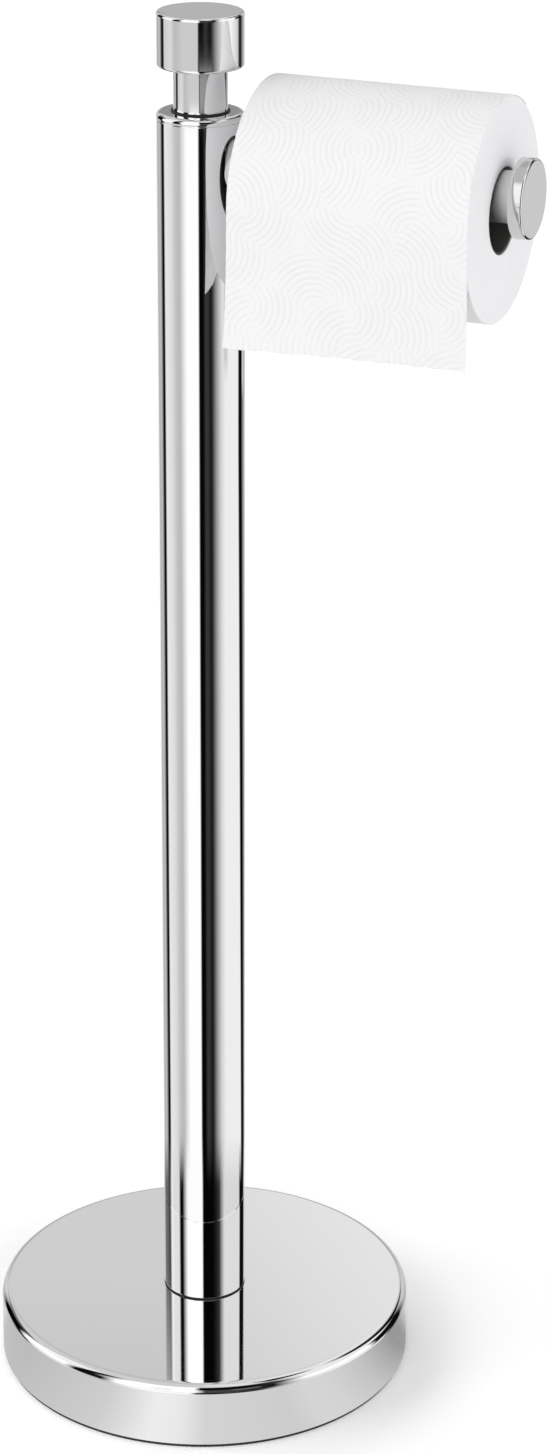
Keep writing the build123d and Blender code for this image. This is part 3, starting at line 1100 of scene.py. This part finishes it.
@dataclass
class PaperRoll:
    """The loaded roll: cardboard core, wound paper and the loose end at the front.

    The sway starts at a share of the sheet's length. The waves of the sway and of the ripple
    are shares of its width.
    """

    core_wall: float = 1.1 * MM
    core_edge_radius: float = 0.25 * MM
    core_clearance: float = 0.05 * MM
    edge_radius: float = 0.9 * MM
    cell: float = 0.9 * MM
    layer_step: float = 1.1 * MM
    layer_relief: float = 0.05 * MM
    emboss_depth: float = 0.13 * MM
    sheet_cell: float = 0.68 * MM
    sheet_thickness: float = 0.40 * MM
    sheet_gap: float = 0.03 * MM
    feathered_share: float = 0.12
    wrap_past_top: float = 35.0
    start_blend: float = 14.0 * MM
    straight_drop: float = 22.0 * MM
    curl_radius: float = 260.0 * MM
    tear_depth: float = 0.5 * MM
    tear_pitch: float = 3.2 * MM
    tip_length: float = 1.3 * MM
    tip_width: float = 3.0 * MM
    skew: float = 0.9 * MM
    curl_left: float = -1.2 * MM
    curl_right: float = 5.5 * MM
    tear_reach: float = 2.0 * MM
    sway_start: float = 0.66
    sway_depth: float = 0.9 * MM
    sway_wave: float = 0.8
    sway_phase: float = 0.8
    ripple_depth: float = 0.25 * MM
    ripple_wave: float = 0.31
    ripple_slant: float = 9 * MM
    end_slope: float = 0.7
    smooth_angle: float = 50.0
    seed: int = 5

    def __post_init__(self) -> None:
        """Take the roll's place and size from the frame."""
        self.low, self.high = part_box("roll_paper")
        self.radius = (self.high.y - self.low.y) / 2
        self.axis_height = (self.high.z + self.low.z) / 2
        self.centre = Vector((0, 0, self.axis_height))
        self.width = self.high.x - self.low.x
        self.emboss = FanEmboss()
        self.sheet_radius = self.radius + self.sheet_gap
        self.sheet_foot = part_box("hanging_sheet")[0].z
        self.wrap_angle = math.radians(90 + self.wrap_past_top)
        self.wrap = self.wrap_angle * self.sheet_radius

    def build(self, palette: Palette) -> None:
        """Build and dress the roll.

        Args:
            palette: The finishes.
        """
        palette.dress_piece(self.core(), Slot.CARDBOARD, Body.ROLL, "roll_core")
        wound = self.wound_paper()
        wound.data.materials.append(palette.by_slot[Slot.TISSUE])
        wound.data.materials.append(palette.cut_end)
        for face in wound.data.polygons:
            face.material_index = int(abs(face.normal.x) > self.end_slope or self.inside(face.center))
        palette.dress_piece(wound, Slot.TISSUE, Body.ROLL, "roll_paper")
        sheet = self.loose_sheet()
        palette.dress_piece(sheet, Slot.TISSUE, Body.LOOSE_END, "hanging_sheet")

    def inside(self, place: Vector) -> bool:
        """Tell whether a place lies inside the middle of the paper ring."""
        return math.hypot(place.y, place.z - self.axis_height) < self.radius / 2

    def core(self) -> Piece:
        """Make the cardboard core.

        Returns:
            The new piece, in place.
        """
        low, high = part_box("roll_core")
        radius = (high.y - low.y) / 2
        bore = radius - self.core_wall
        return Turning("roll_core_board", [
            Corner(bore, low.x, self.core_edge_radius, 3),
            Corner(radius, low.x),
            Corner(radius, high.x),
            Corner(bore, high.x, self.core_edge_radius, 3),
            Corner(bore, low.x + self.core_edge_radius),
        ], centre=self.centre, axis=ALONG_ARM).build()

    def wound_paper(self) -> Piece:
        """Make the wound paper, with faint layers on its ends and its face embossed.

        Returns:
            The new piece, in place.
        """
        core_low, core_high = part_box("roll_core")
        bore = (core_high.y - core_low.y) / 2 + self.core_clearance
        rng = random.Random(self.seed)
        corners = [Corner(bore, self.low.x)]
        layers = range(1, int((self.radius - self.edge_radius - bore) / self.layer_step))
        for layer in layers:
            inset = rng.uniform(0, self.layer_relief)
            corners.append(Corner(bore + layer * self.layer_step, self.low.x + inset))
        corners.append(Corner(self.radius, self.low.x, self.edge_radius, 4))
        columns = int(self.width / self.cell)
        for column in range(2, columns - 1):
            corners.append(Corner(self.radius, self.low.x + column * self.width / columns))
        corners.append(Corner(self.radius, self.high.x, self.edge_radius, 4))
        for layer in reversed(layers):
            inset = rng.uniform(0, self.layer_relief)
            corners.append(Corner(bore + layer * self.layer_step, self.high.x - inset))
        corners.append(Corner(bore, self.high.x))
        steps = int(2 * math.pi * self.radius / self.cell)
        roll = Turning(
            "wound_paper", corners, ring=True, centre=self.centre, axis=ALONG_ARM, steps=steps,
            hold=self.cell, smooth_angle=self.smooth_angle,
        ).build()
        self.press_roll(roll.data)
        return roll

    def press_roll(self, mesh: Mesh) -> None:
        """Press the fans into the roll's face and map their arcs.

        Args:
            mesh: The wound paper's mesh.
        """
        fans = self.emboss.lay_out(self.width, 2 * math.pi * self.radius)
        face_radius = self.radius - self.edge_radius / 2
        places = []
        for vertex in mesh.vertices:
            y, z = vertex.co.y, vertex.co.z - self.axis_height
            reach = math.hypot(y, z)
            across = vertex.co.x - self.low.x
            along = math.atan2(z, -y) % (2 * math.pi) * self.radius
            places.append((across, along))
            if reach < face_radius:
                continue
            shrink = 1 - self.emboss.depth(across, along, fans) * self.emboss_depth / reach
            vertex.co.y = y * shrink
            vertex.co.z = self.axis_height + z * shrink
        self.emboss.map_arcs(mesh, places, fans)

    def sheet_length(self) -> float:
        """Return the length of the loose sheet along the paper."""
        return self.wrap + self.straight_drop + self.curl_length()

    def curl_length(self) -> float:
        """Return the length of the slight curl at the end of the sheet."""
        drop = self.axis_height - self.straight_drop - self.sheet_foot
        return self.curl_radius * math.asin(drop / self.curl_radius)

    def sheet_place(self, along: float) -> tuple[Vector, Vector]:
        """Follow the loose sheet from its start behind the roll's top to its torn end.

        Args:
            along: Distance from the start.

        Returns:
            The place of its inner face and the outward normal, both in the YZ plane.
        """
        radius = self.sheet_radius
        if along < self.wrap:
            angle = self.wrap_angle - along / radius
            normal = Vector((0, -math.cos(angle), math.sin(angle)))
            return self.centre + normal * radius, normal
        if along < self.wrap + self.straight_drop:
            place = self.centre + Vector((0, -radius, self.wrap - along))
            return place, Vector((0, -1, 0))
        angle = (along - self.wrap - self.straight_drop) / self.curl_radius
        out = self.curl_radius * (1 - math.cos(angle))
        down = self.straight_drop + self.curl_radius * math.sin(angle)
        normal = Vector((0, -math.cos(angle), math.sin(angle)))
        return self.centre + Vector((0, -radius - out, -down)), normal

    def tear(self, across: float, teeth: list[float]) -> float:
        """Return how far the torn end reaches past the straight line, at a place across it.

        Args:
            across: Place across the sheet.
            teeth: Random heights of the torn teeth.

        Returns:
            The extra length.
        """
        step = across / self.tear_pitch
        index = int(step)
        blend = step - index
        raggedness = teeth[index] * (1 - blend) + teeth[index + 1] * blend
        tip = max(0.0, 1 - (self.width - across) / self.tip_width)
        return (raggedness - 1) * self.tear_depth + tip * self.tip_length

    def sway(self, across: float, along: float, length: float) -> float:
        """Return how far the free end of the sheet waves out of its smooth curve.

        Args:
            across: Place across the sheet.
            along: Place along it.
            length: Its whole length.

        Returns:
            The distance along the outward normal.
        """
        loose = max(0.0, (along - self.sway_start * length) / ((1 - self.sway_start) * length))
        slow = 2 * math.pi * across / (self.sway_wave * self.width) + self.sway_phase
        quick = 2 * math.pi * across / (self.ripple_wave * self.width) + along / self.ripple_slant
        return loose * (loose * self.sway_depth * math.sin(slow) + self.ripple_depth * math.sin(quick))

    def shift(self, across: float, along: float, length: float) -> Vector:
        """Return how far the sheet's skew, and its curl to one side, move a place of it.

        Args:
            across: Place across the sheet.
            along: Place along it.
            length: Its whole length.

        Returns:
            The move, in the frame of the model.
        """
        share = across / self.width
        hang = max(0.0, (along - self.wrap) / (length - self.wrap))
        skew = self.skew * share * min(1.0, along / self.wrap) ** 2
        curl = (self.curl_left + (self.curl_right - self.curl_left) * share) * hang * hang
        return Vector((skew, curl, 0))

    def loose_sheet(self) -> Piece:
        """Make the loose end of the paper, draped over the roll and hanging at the front.

        Returns:
            The new piece, in place.
        """
        length = self.sheet_length()
        columns = round(self.width / self.sheet_cell)
        rows = round(length / self.sheet_cell)
        deselect_all()
        bpy.ops.mesh.primitive_grid_add(x_subdivisions=columns, y_subdivisions=rows, size=1.0)
        sheet = bpy.context.object
        sheet.name = "loose_end_sheet"
        sheet.data.name = sheet.name
        fans = self.emboss.lay_out(self.width, length)
        rng = random.Random(self.seed)
        teeth = [rng.random() for _ in range(int(self.width / self.tear_pitch) + 3)]
        places, outer, inner = [], [], []
        for vertex in sheet.data.vertices:
            across = (vertex.co.x + 0.5) * self.width
            along = (0.5 - vertex.co.y) * length
            near_end = max(0.0, 1 - (length - along) / self.tear_reach)
            along += near_end * self.tear(across, teeth)
            place, normal = self.sheet_place(along)
            here = Vector((self.low.x + across, place.y, place.z))
            here += normal * self.sway(across, along, length) + self.shift(across, along, length)
            vertex.co = here
            places.append((across, along))
            press = self.emboss.depth(across, along, fans) * self.emboss_depth
            feather = min(1.0, self.feathered_share + (1 - self.feathered_share) * along / self.start_blend)
            outer.append(here + normal * (self.sheet_thickness - press) * feather)
            free = min(1.0, max(0.0, (along - self.wrap) / self.straight_drop))
            inner.append(here - normal * press * free)
        self.emboss.map_arcs(sheet.data, places, fans)
        self.thicken(sheet, outer, inner)
        return sheet

    def thicken(self, sheet: Piece, outer: list[Vector], inner: list[Vector]) -> None:
        """Give the sheet its two faces, and smooth shading.

        Args:
            sheet: The single-layer sheet.
            outer: Place of each vertex on the outer face.
            inner: Place of each vertex on the inner face.
        """
        solidify = sheet.modifiers.new("thickness", "SOLIDIFY")
        solidify.thickness = self.sheet_thickness
        bpy.ops.object.modifier_apply(modifier=solidify.name)
        for vertex, place in zip(sheet.data.vertices, outer + inner):
            vertex.co = place
        bpy.ops.object.mode_set(mode="EDIT")
        bpy.ops.mesh.select_all(action="SELECT")
        bpy.ops.mesh.normals_make_consistent(inside=False)
        bpy.ops.object.mode_set(mode="OBJECT")
        bpy.ops.object.shade_smooth_by_angle(angle=math.radians(self.smooth_angle))


@dataclass
class Camera:
    """The photograph's viewpoint, fitted to the outlines of the stand."""

    azimuth: float = CAMERA_AZIMUTH
    distance: float = 1.70237
    height: float = 1.02126
    heading: float = 21.9136
    pitch: float = 21.987
    roll: float = 0.2334
    lens: float = 95.90
    sensor_width: float = 36.0
    view_end: float = 200.0

    def build(self) -> None:
        """Create the camera and make it the scene's own."""
        data = bpy.data.cameras.new("photo_camera")
        data.lens = self.lens
        data.sensor_width = self.sensor_width
        data.clip_end = self.view_end
        camera = bpy.data.objects.new("photo_camera", data)
        bpy.context.scene.collection.objects.link(camera)
        place = Vector((
            self.distance * math.cos(math.radians(self.azimuth)),
            self.distance * math.sin(math.radians(self.azimuth)),
            self.height,
        ))
        turn = Matrix.Rotation(math.radians(self.heading), 4, "Z")
        tilt = Matrix.Rotation(math.radians(90 - self.pitch), 4, "X")
        twist = Matrix.Rotation(math.radians(self.roll), 4, "Z")
        camera.matrix_world = Matrix.Translation(place) @ turn @ tilt @ twist
        bpy.context.scene.camera = camera
        log.info("camera at %.3f, %.3f, %.3f", *place)


@dataclass(frozen=True)
class Lamp:
    """A wide soft lamp, as far away as the sun."""

    name: str
    light: float
    width: float
    azimuth: float
    elevation: float

    def build(self) -> None:
        """Create the lamp. Its light is what a white surface that faces it gives back."""
        data = bpy.data.lights.new(self.name, "SUN")
        data.energy = self.light * math.pi
        data.angle = math.radians(self.width)
        lamp = bpy.data.objects.new(self.name, data)
        bpy.context.scene.collection.objects.link(lamp)
        lamp.rotation_euler = (0.0, math.radians(90 - self.elevation), math.radians(self.azimuth))
        lamp.visible_glossy = False


@dataclass(frozen=True)
class Card:
    """One grey card or black flag of a ring round the stand, seen only in the chrome.

    Its edges are bearings in degrees from the camera's own, positive to its right. Its tone
    is an sRGB grey level, with a second one where it is graded. Between two cards the tone
    runs evenly from one to the next.
    """

    name: str
    start: float
    end: float
    tone: int
    end_tone: int | None = None

    def stops(self) -> tuple[tuple[float, int], tuple[float, int]]:
        """Return the card's two edges, each with its tone."""
        end_tone = self.tone if self.end_tone is None else self.end_tone
        return (self.start, self.tone), (self.end, end_tone)


@dataclass(frozen=True)
class Edge:
    """A soft edge of a card, from where nothing of the card is seen to where all of it is."""

    start: float
    end: float

    def share(self, tree: Tree, value: Source) -> Node:
        """Return a node that rises from 0, where the value is at the start, to 1 at the end."""
        return add_node(tree, "ShaderNodeMapRange", Value=value, From_Min=self.start, From_Max=self.end)


@dataclass(frozen=True)
class LoneCard:
    """One grey card that hangs by itself in front of the others.

    Its sides are bearings, and its foot and top are heights. Both edges have a blur, in the
    same measure.
    """

    name: str
    tone: int
    left: float
    right: float
    side_blur: float
    foot: float
    top: float
    height_blur: float

    def hang(self, tree: Tree, tones: object, around: Node, height: Socket) -> Socket:
        """Hang the card in front of what is there.

        Args:
            tree: Node tree of the world.
            tones: What is seen there so far.
            around: Bearing of the direction.
            height: Its height.

        Returns:
            The tone seen in that direction.
        """
        return cover(
            tree, tones, linear_grey(self.tone),
            Edge(self.foot - self.height_blur, self.foot).share(tree, height),
            Edge(self.top + self.height_blur, self.top).share(tree, height),
            Edge(self.left - self.side_blur, self.left).share(tree, around),
            Edge(self.right + self.side_blur, self.right).share(tree, around),
        )


# Below the horizon and near the stand, as the column mirrors it
NEAR_RING = (
    Card("rear_wall_left", -180, -160, 235),
    Card("left_rear_sweep", -150, -131, 175, 187),
    Card("left_flag", -120, -112, 8),
    Card("left_window", -107, -84, 232, 220),
    Card("left_sweep", -70, -58, 193, 184),
    Card("front_window", -38, -8, 254),
    Card("front_flag", -5, 5, 6),
    Card("faint_streak", 12, 18, 55, 48),
    Card("flag_edge", 24, 26, 24),
    Card("right_sweep", 31, 53, 70, 212),
    Card("right_window", 66, 111, 237),
    Card("right_flag", 116, 130, 5),
    Card("right_rear_sweep", 137, 158, 120, 205),
    Card("rear_wall_right", 172, 180, 232),
)
# Further off and nearer the horizon, as the neck, the knob and the end cap mirror it
FAR_RING = (
    Card("rear_wall_left", -180, -160, 235),
    Card("left_rear_sweep", -150, -131, 168, 190),
    Card("left_flag", -121, -112, 20),
    Card("left_window", -108, -84, 205, 217),
    Card("left_sweep", -70, -60, 187, 194),
    Card("front_window", -48, -8, 201),
    Card("front_flag", -5, 5, 8),
    Card("faint_streak", 12, 18, 48, 38),
    Card("flag_edge", 24, 26, 12),
    Card("right_sweep", 31, 54, 65, 205),
    Card("right_window", 68, 84, 246),
    Card("right_curtain", 98, 112, 226, 205),
    Card("right_flag", 120, 130, 35),
    Card("right_rear_sweep", 138, 160, 140, 210),
    Card("rear_wall_right", 172, 180, 230),
)
# On the floor, close round the base, as the base's side mirrors it
BASE_SIDE_RING = (
    Card("rear_left", -180, -104, 205, 210),
    Card("left_shade", -96, -75, 187),
    Card("left_sweep", -35, -26, 205, 220),
    Card("front_window", -17, -8, 237, 232),
    Card("front_shade", 0, 28, 211, 204),
    Card("right_window", 38, 48, 213, 210),
    Card("right_sweep", 62, 74, 196, 174),
    Card("right_shade", 84, 92, 150),
    Card("rear_right", 104, 180, 203),
)
# Just above the horizon, as the lower part of the base's shoulder mirrors it
LOW_SKY_RING = (
    Card("rear_left", -180, -146, 200, 188),
    Card("left_flag", -138, -117, 5),
    Card("left_window", -111, -80, 238, 242),
    Card("slim_flag", -73, -56, 6, 20),
    Card("front_window", -47, -6, 250),
    Card("front_flag", 0, 14, 62, 58),
    Card("flag_edge", 24, 37, 40, 16),
    Card("right_window", 55, 98, 238),
    Card("right_flag", 104, 130, 8),
    Card("rear_right", 140, 180, 180, 205),
)
# Higher up, as the upper part of the shoulder mirrors it
HIGH_RING = (
    Card("rear_wall_left", -180, -160, 206, 200),
    Card("left_rear_shade", -148, -128, 112, 95),
    Card("left_flag", -122, -115, 70),
    Card("left_window", -109, -104, 215, 236),
    Card("left_curtain", -98, -78, 219),
    Card("slim_flag", -73, -64, 8),
    Card("front_window", -48, -7, 252),
    Card("front_flag", -3, 24, 4),
    Card("flag_edge", 34, 44, 25, 52),
    Card("right_window", 60, 117, 215),
    Card("right_flag", 122, 147, 8),
    Card("right_rear_shade", 151, 157, 140, 195),
    Card("rear_sweep", 162, 170, 208, 226),
    Card("rear_wall_right", 176, 180, 226, 206),
)
# Behind the stand. These edges are heights, from low to high
BACKDROP = (
    Card("skirting", 0.0, 0.195, 190, 176),
    Card("dado", 0.209, 0.211, 171),
    Card("wall", 0.22, 0.27, 140),
    Card("upper_wall", 0.42, 1.0, 200),
)
# Lone cards: name, tone, left, right, side blur, foot, top, height blur

# What the flat tops of the base and the knob mirror towards two other directions
FLAT_TOP_CARDS = (
    LoneCard("top_seen_from_behind", 196, -28, -18, 2.88, 0.17, 0.36, 0.01),
    LoneCard("top_seen_from_rear_left", 100, 16, 28, 2.88, 0.17, 0.36, 0.01),
)
# Below the horizon, in front of the two lower rings
LOW_CARDS = (
    LoneCard("neck_card", 148, -1.8, 28.8, 3.6, -0.224, -0.215, 0.002),
    LoneCard("end_cap_card", 198, 133.92, 143.28, 1.44, -0.29, -0.232, 0.005),
    LoneCard("column_side_card", 203, 61.92, 72, 2.16, -0.285, -0.235, 0.005),
)
# In front of the even tones overhead
OVERHEAD_FLAG = LoneCard("overhead_flag", 8, 54, 95.4, 5.4, 0.86, 0.95, 0.015)


def bearing_of(tree: Tree, vector: Socket) -> Node:
    """Turn a place or direction into its bearing.

    Args:
        tree: Node tree that receives the nodes.
        vector: Socket with the place or direction.

    Returns:
        A node that gives degrees from the camera's own bearing, positive to its right.
    """
    turned = add_node(
        tree, "ShaderNodeVectorRotate", {"rotation_type": "Z_AXIS"}, Vector=vector,
        Angle=-math.radians(CAMERA_AZIMUTH),
    )
    ahead, aside, _ = add_node(tree, "ShaderNodeSeparateXYZ", Vector=turned).outputs
    angle = add_node(tree, "ShaderNodeMath", {"operation": "ARCTAN2"}, aside, ahead)
    return add_node(tree, "ShaderNodeMath", {"operation": "DEGREES"}, angle)


def set_cards(tree: Tree, cards: tuple[Card, ...], value: Source, low: float = -180,
              high: float = 180) -> Node:
    """Set cards side by side in a ring, or one above the other.

    Args:
        tree: Node tree that receives the cards.
        cards: The cards, from left to right or from low to high.
        value: Source of the bearing or height that picks a card.
        low: The least bearing or height.
        high: The greatest.

    Returns:
        A node that gives the tone of the card that is picked.
    """
    node = add_node(tree, "ShaderNodeValToRGB", None, Edge(low, high).share(tree, value))
    elements = node.color_ramp.elements
    while len(elements) > 1:
        elements.remove(elements[-1])
    for index, (place, level) in enumerate(stop for card in cards for stop in card.stops()):
        share = (place - low) / (high - low)
        element = elements[0] if index == 0 else elements.new(share)
        element.position = share
        element.color = linear_grey(level)
    return node


@dataclass(frozen=True)
class WhiteFloor(Finish):
    """Matt white paper sweep, with low grey cards close round the base.

    The camera sees white with soft shadows. Only the chrome sees the cards. It looks through
    the rest of the floor to the cards of the world, and from below everything does.
    """

    card_gain: float
    name: str = "white_floor"
    colour: str = "#FAFAFA"
    lift: float = 0.24
    card_reach: float = 0.156
    card_blur: float = 2 * MM

    def shader(self, tree: Tree, place: Socket) -> Node:
        """Add the shader, which differs by who looks at the floor.

        Args:
            tree: Node tree of the material.
            place: Socket with the place on the object, in metres.

        Returns:
            The shader.
        """
        path = add_node(tree, "ShaderNodeLightPath")
        white = linear("#FFFFFF")
        clear = add_node(tree, "ShaderNodeBsdfTransparent")
        ring = set_cards(tree, BASE_SIDE_RING, bearing_of(tree, place))
        cards = add_node(tree, "ShaderNodeEmission", Color=ring, Strength=self.card_gain)
        reach = add_node(tree, "ShaderNodeVectorMath", {"operation": "LENGTH"}, place).outputs["Value"]
        beyond = Edge(self.card_reach - self.card_blur, self.card_reach + self.card_blur).share(tree, reach)
        mirrored = add_node(tree, "ShaderNodeMixShader", None, beyond, cards, clear)
        matt = add_node(tree, "ShaderNodeBsdfDiffuse", Color=linear(self.colour))
        bright = add_node(tree, "ShaderNodeBsdfDiffuse", Color=white)
        lift = add_node(tree, "ShaderNodeEmission", Color=white, Strength=self.lift)
        lifted = add_node(tree, "ShaderNodeAddShader", None, bright, lift)
        direct = add_node(tree, "ShaderNodeMixShader", None, path.outputs["Is Camera Ray"], matt, lifted)
        upper = add_node(tree, "ShaderNodeMixShader", None, path.outputs["Is Glossy Ray"], direct, mirrored)
        below = add_node(tree, "ShaderNodeNewGeometry").outputs["Backfacing"]
        return add_node(tree, "ShaderNodeMixShader", None, below, upper, clear)


@dataclass(frozen=True)
class Studio:
    """White floor, soft lamps, and the cards whose reflections draw the chrome.

    The edges named "side" are bearings in degrees from the camera's own, and all others are
    heights. A height is the sine of the elevation. The right flag hangs askew: high up it
    leans with the height, and below it drifts to the left towards the floor.
    """

    floor_size: float = 60.0
    floor_gap: float = 0.02 * MM
    daylight: float = 0.19
    card_gain: float = 1.16
    twice_mirrored_gain: float = 1.40
    lamps: tuple[Lamp, ...] = (
        Lamp("left_lamp", 0.38, 44.0, -146.0, 36.0),
        Lamp("rear_lamp", 0.25, 42.0, 152.0, 40.0),
        Lamp("front_lamp", 0.345, 50.0, -80.0, 20.0),
        Lamp("right_lamp", 0.73, 60.0, 0.0, 6.0),
    )
    overhead_left: int = 188
    overhead_right: int = 208
    right_flag_pivot: float = 0.52
    right_flag_lean: float = 60.0
    right_flag_drift: float = 17.0
    horizon: Edge = Edge(-0.19, -0.16)
    behind_side: Edge = Edge(151.2, 165.6)
    below_level: Edge = Edge(0.05, -0.05)
    lean_side: Edge = Edge(100.8, 108.0)
    rear_left_side: Edge = Edge(-108.0, -115.2)
    rear_left_foot: Edge = Edge(0.50, 0.55)
    low_sky_top: Edge = Edge(0.42, 0.34)
    overhead_side: Edge = Edge(-18.0, 36.0)
    overhead_foot: Edge = Edge(0.78, 0.86)
    drift_top: Edge = Edge(-0.307, -0.472)
    drift_side: Edge = Edge(93.6, 108.0)
    far_foot: Edge = Edge(-0.226, -0.222)
    far_right_side: Edge = Edge(72.0, 79.2)
    far_right_foot: Edge = Edge(-0.276, -0.269)
    base_top: Edge = Edge(-0.470, -0.480)

    def build(self) -> None:
        """Create the world, the floor and the lamps."""
        self.world()
        self.floor()
        for lamp in self.lamps:
            lamp.build()

    def high_cards(self, tree: Tree, around: Node, height: Socket, behind: Node) -> Socket:
        """Hang the cards above the horizon, which the base's shoulder and flat tops mirror.

        Args:
            tree: Node tree of the world.
            around: Bearing of the direction.
            height: Its height.
            behind: 1 where the direction is behind the stand.

        Returns:
            The tone seen in that direction.
        """
        lean = add_node(tree, "ShaderNodeMath", {"operation": "SUBTRACT"}, height, self.right_flag_pivot)
        lean = add_node(tree, "ShaderNodeMath", TIMES, lean, self.lean_side.share(tree, around))
        leant = add_node(
            tree, "ShaderNodeMath", {"operation": "MULTIPLY_ADD"}, lean, self.right_flag_lean, around,
        )
        left, right = linear_grey(self.overhead_left), linear_grey(self.overhead_right)
        overhead = cover(tree, left, right, self.overhead_side.share(tree, around))
        overhead = OVERHEAD_FLAG.hang(tree, overhead, around, height)
        low_sky = self.low_sky_top.share(tree, height)
        cards = cover(
            tree, set_cards(tree, HIGH_RING, leant), left, self.rear_left_side.share(tree, around),
            self.rear_left_foot.share(tree, height),
        )
        cards = cover(tree, cards, set_cards(tree, LOW_SKY_RING, around), low_sky)
        for card in FLAT_TOP_CARDS:
            cards = card.hang(tree, cards, around, height)
        cards = cover(tree, cards, overhead, self.overhead_foot.share(tree, height))
        return cover(tree, cards, set_cards(tree, BACKDROP, height, 0, 1), behind, low_sky)

    def low_cards(self, tree: Tree, around: Node, height: Socket) -> Socket:
        """Stand the cards below the horizon, which the column, neck, knob and end cap mirror.

        Args:
            tree: Node tree of the world.
            around: Bearing of the direction.
            height: Its height.

        Returns:
            The tone seen in that direction.
        """
        drift = add_node(
            tree, "ShaderNodeMath", TIMES, self.drift_top.share(tree, height),
            self.drift_side.share(tree, around),
        )
        drifted = add_node(
            tree, "ShaderNodeMath", {"operation": "MULTIPLY_ADD"}, drift, -self.right_flag_drift, around,
        )
        far_right = add_node(
            tree, "ShaderNodeMath", TIMES, self.far_right_side.share(tree, around),
            self.far_right_foot.share(tree, height),
        )
        far = add_node(
            tree, "ShaderNodeMath", {"operation": "MAXIMUM"}, far_right, self.far_foot.share(tree, height),
        )
        cards = cover(tree, set_cards(tree, NEAR_RING, drifted), set_cards(tree, FAR_RING, around), far)
        for card in LOW_CARDS:
            cards = card.hang(tree, cards, around, height)
        return cover(tree, cards, set_cards(tree, HIGH_RING, around), self.base_top.share(tree, height))

    def world(self) -> None:
        """Light the scene evenly, and show the cards and the backdrop to the chrome alone."""
        world = bpy.data.worlds.new("studio")
        bpy.context.scene.world = world
        world.use_nodes = True
        tree = world.node_tree
        tree.nodes.clear()
        direction = add_node(tree, "ShaderNodeTexCoord").outputs["Generated"]
        height = add_node(tree, "ShaderNodeSeparateXYZ", Vector=direction).outputs["Z"]
        around = bearing_of(tree, direction)
        aside = add_node(tree, "ShaderNodeMath", {"operation": "ABSOLUTE"}, around)
        behind = self.behind_side.share(tree, aside)
        tones = cover(
            tree, self.low_cards(tree, around, height), self.high_cards(tree, around, height, behind),
            self.horizon.share(tree, height),
        )
        once = add_node(
            tree, "ShaderNodeMath", {"operation": "MAXIMUM"}, behind, self.below_level.share(tree, height),
        )
        gain = add_node(
            tree, "ShaderNodeMapRange", Value=once, To_Min=self.twice_mirrored_gain, To_Max=self.card_gain,
        )
        path = add_node(tree, "ShaderNodeLightPath")
        white = linear("#FFFFFF")
        lit = add_node(tree, "ShaderNodeBackground", Color=white, Strength=self.daylight)
        mirrored = add_node(tree, "ShaderNodeBackground", Color=tones, Strength=gain)
        plain = add_node(tree, "ShaderNodeBackground", Color=white, Strength=1.0)
        unseen = add_node(tree, "ShaderNodeMixShader", None, path.outputs["Is Glossy Ray"], lit, mirrored)
        whole = add_node(tree, "ShaderNodeMixShader", None, path.outputs["Is Camera Ray"], unseen, plain)
        add_node(tree, "ShaderNodeOutputWorld", Surface=whole)

    def floor(self) -> None:
        """Lay the floor."""
        deselect_all()
        bpy.ops.mesh.primitive_plane_add(size=self.floor_size, location=(0, 0, -self.floor_gap))
        floor = bpy.context.object
        floor.name = "studio_floor"
        floor.data.materials.append(WhiteFloor(self.card_gain).build())


def main() -> None:
    """Build the camera, the studio and every sub-assembly."""
    logging.basicConfig(level=logging.INFO, format="%(name)s: %(message)s")
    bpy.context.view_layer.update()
    scene = bpy.context.scene
    scene.view_settings.view_transform = "Standard"
    Camera().build()
    Studio().build()
    roll = PaperRoll()
    palette = Palette(roll.centre)
    for assembly in (Base(), Column(), Finial(), Arm(), roll):
        assembly.build(palette)


if __name__ == "__main__":
    main()
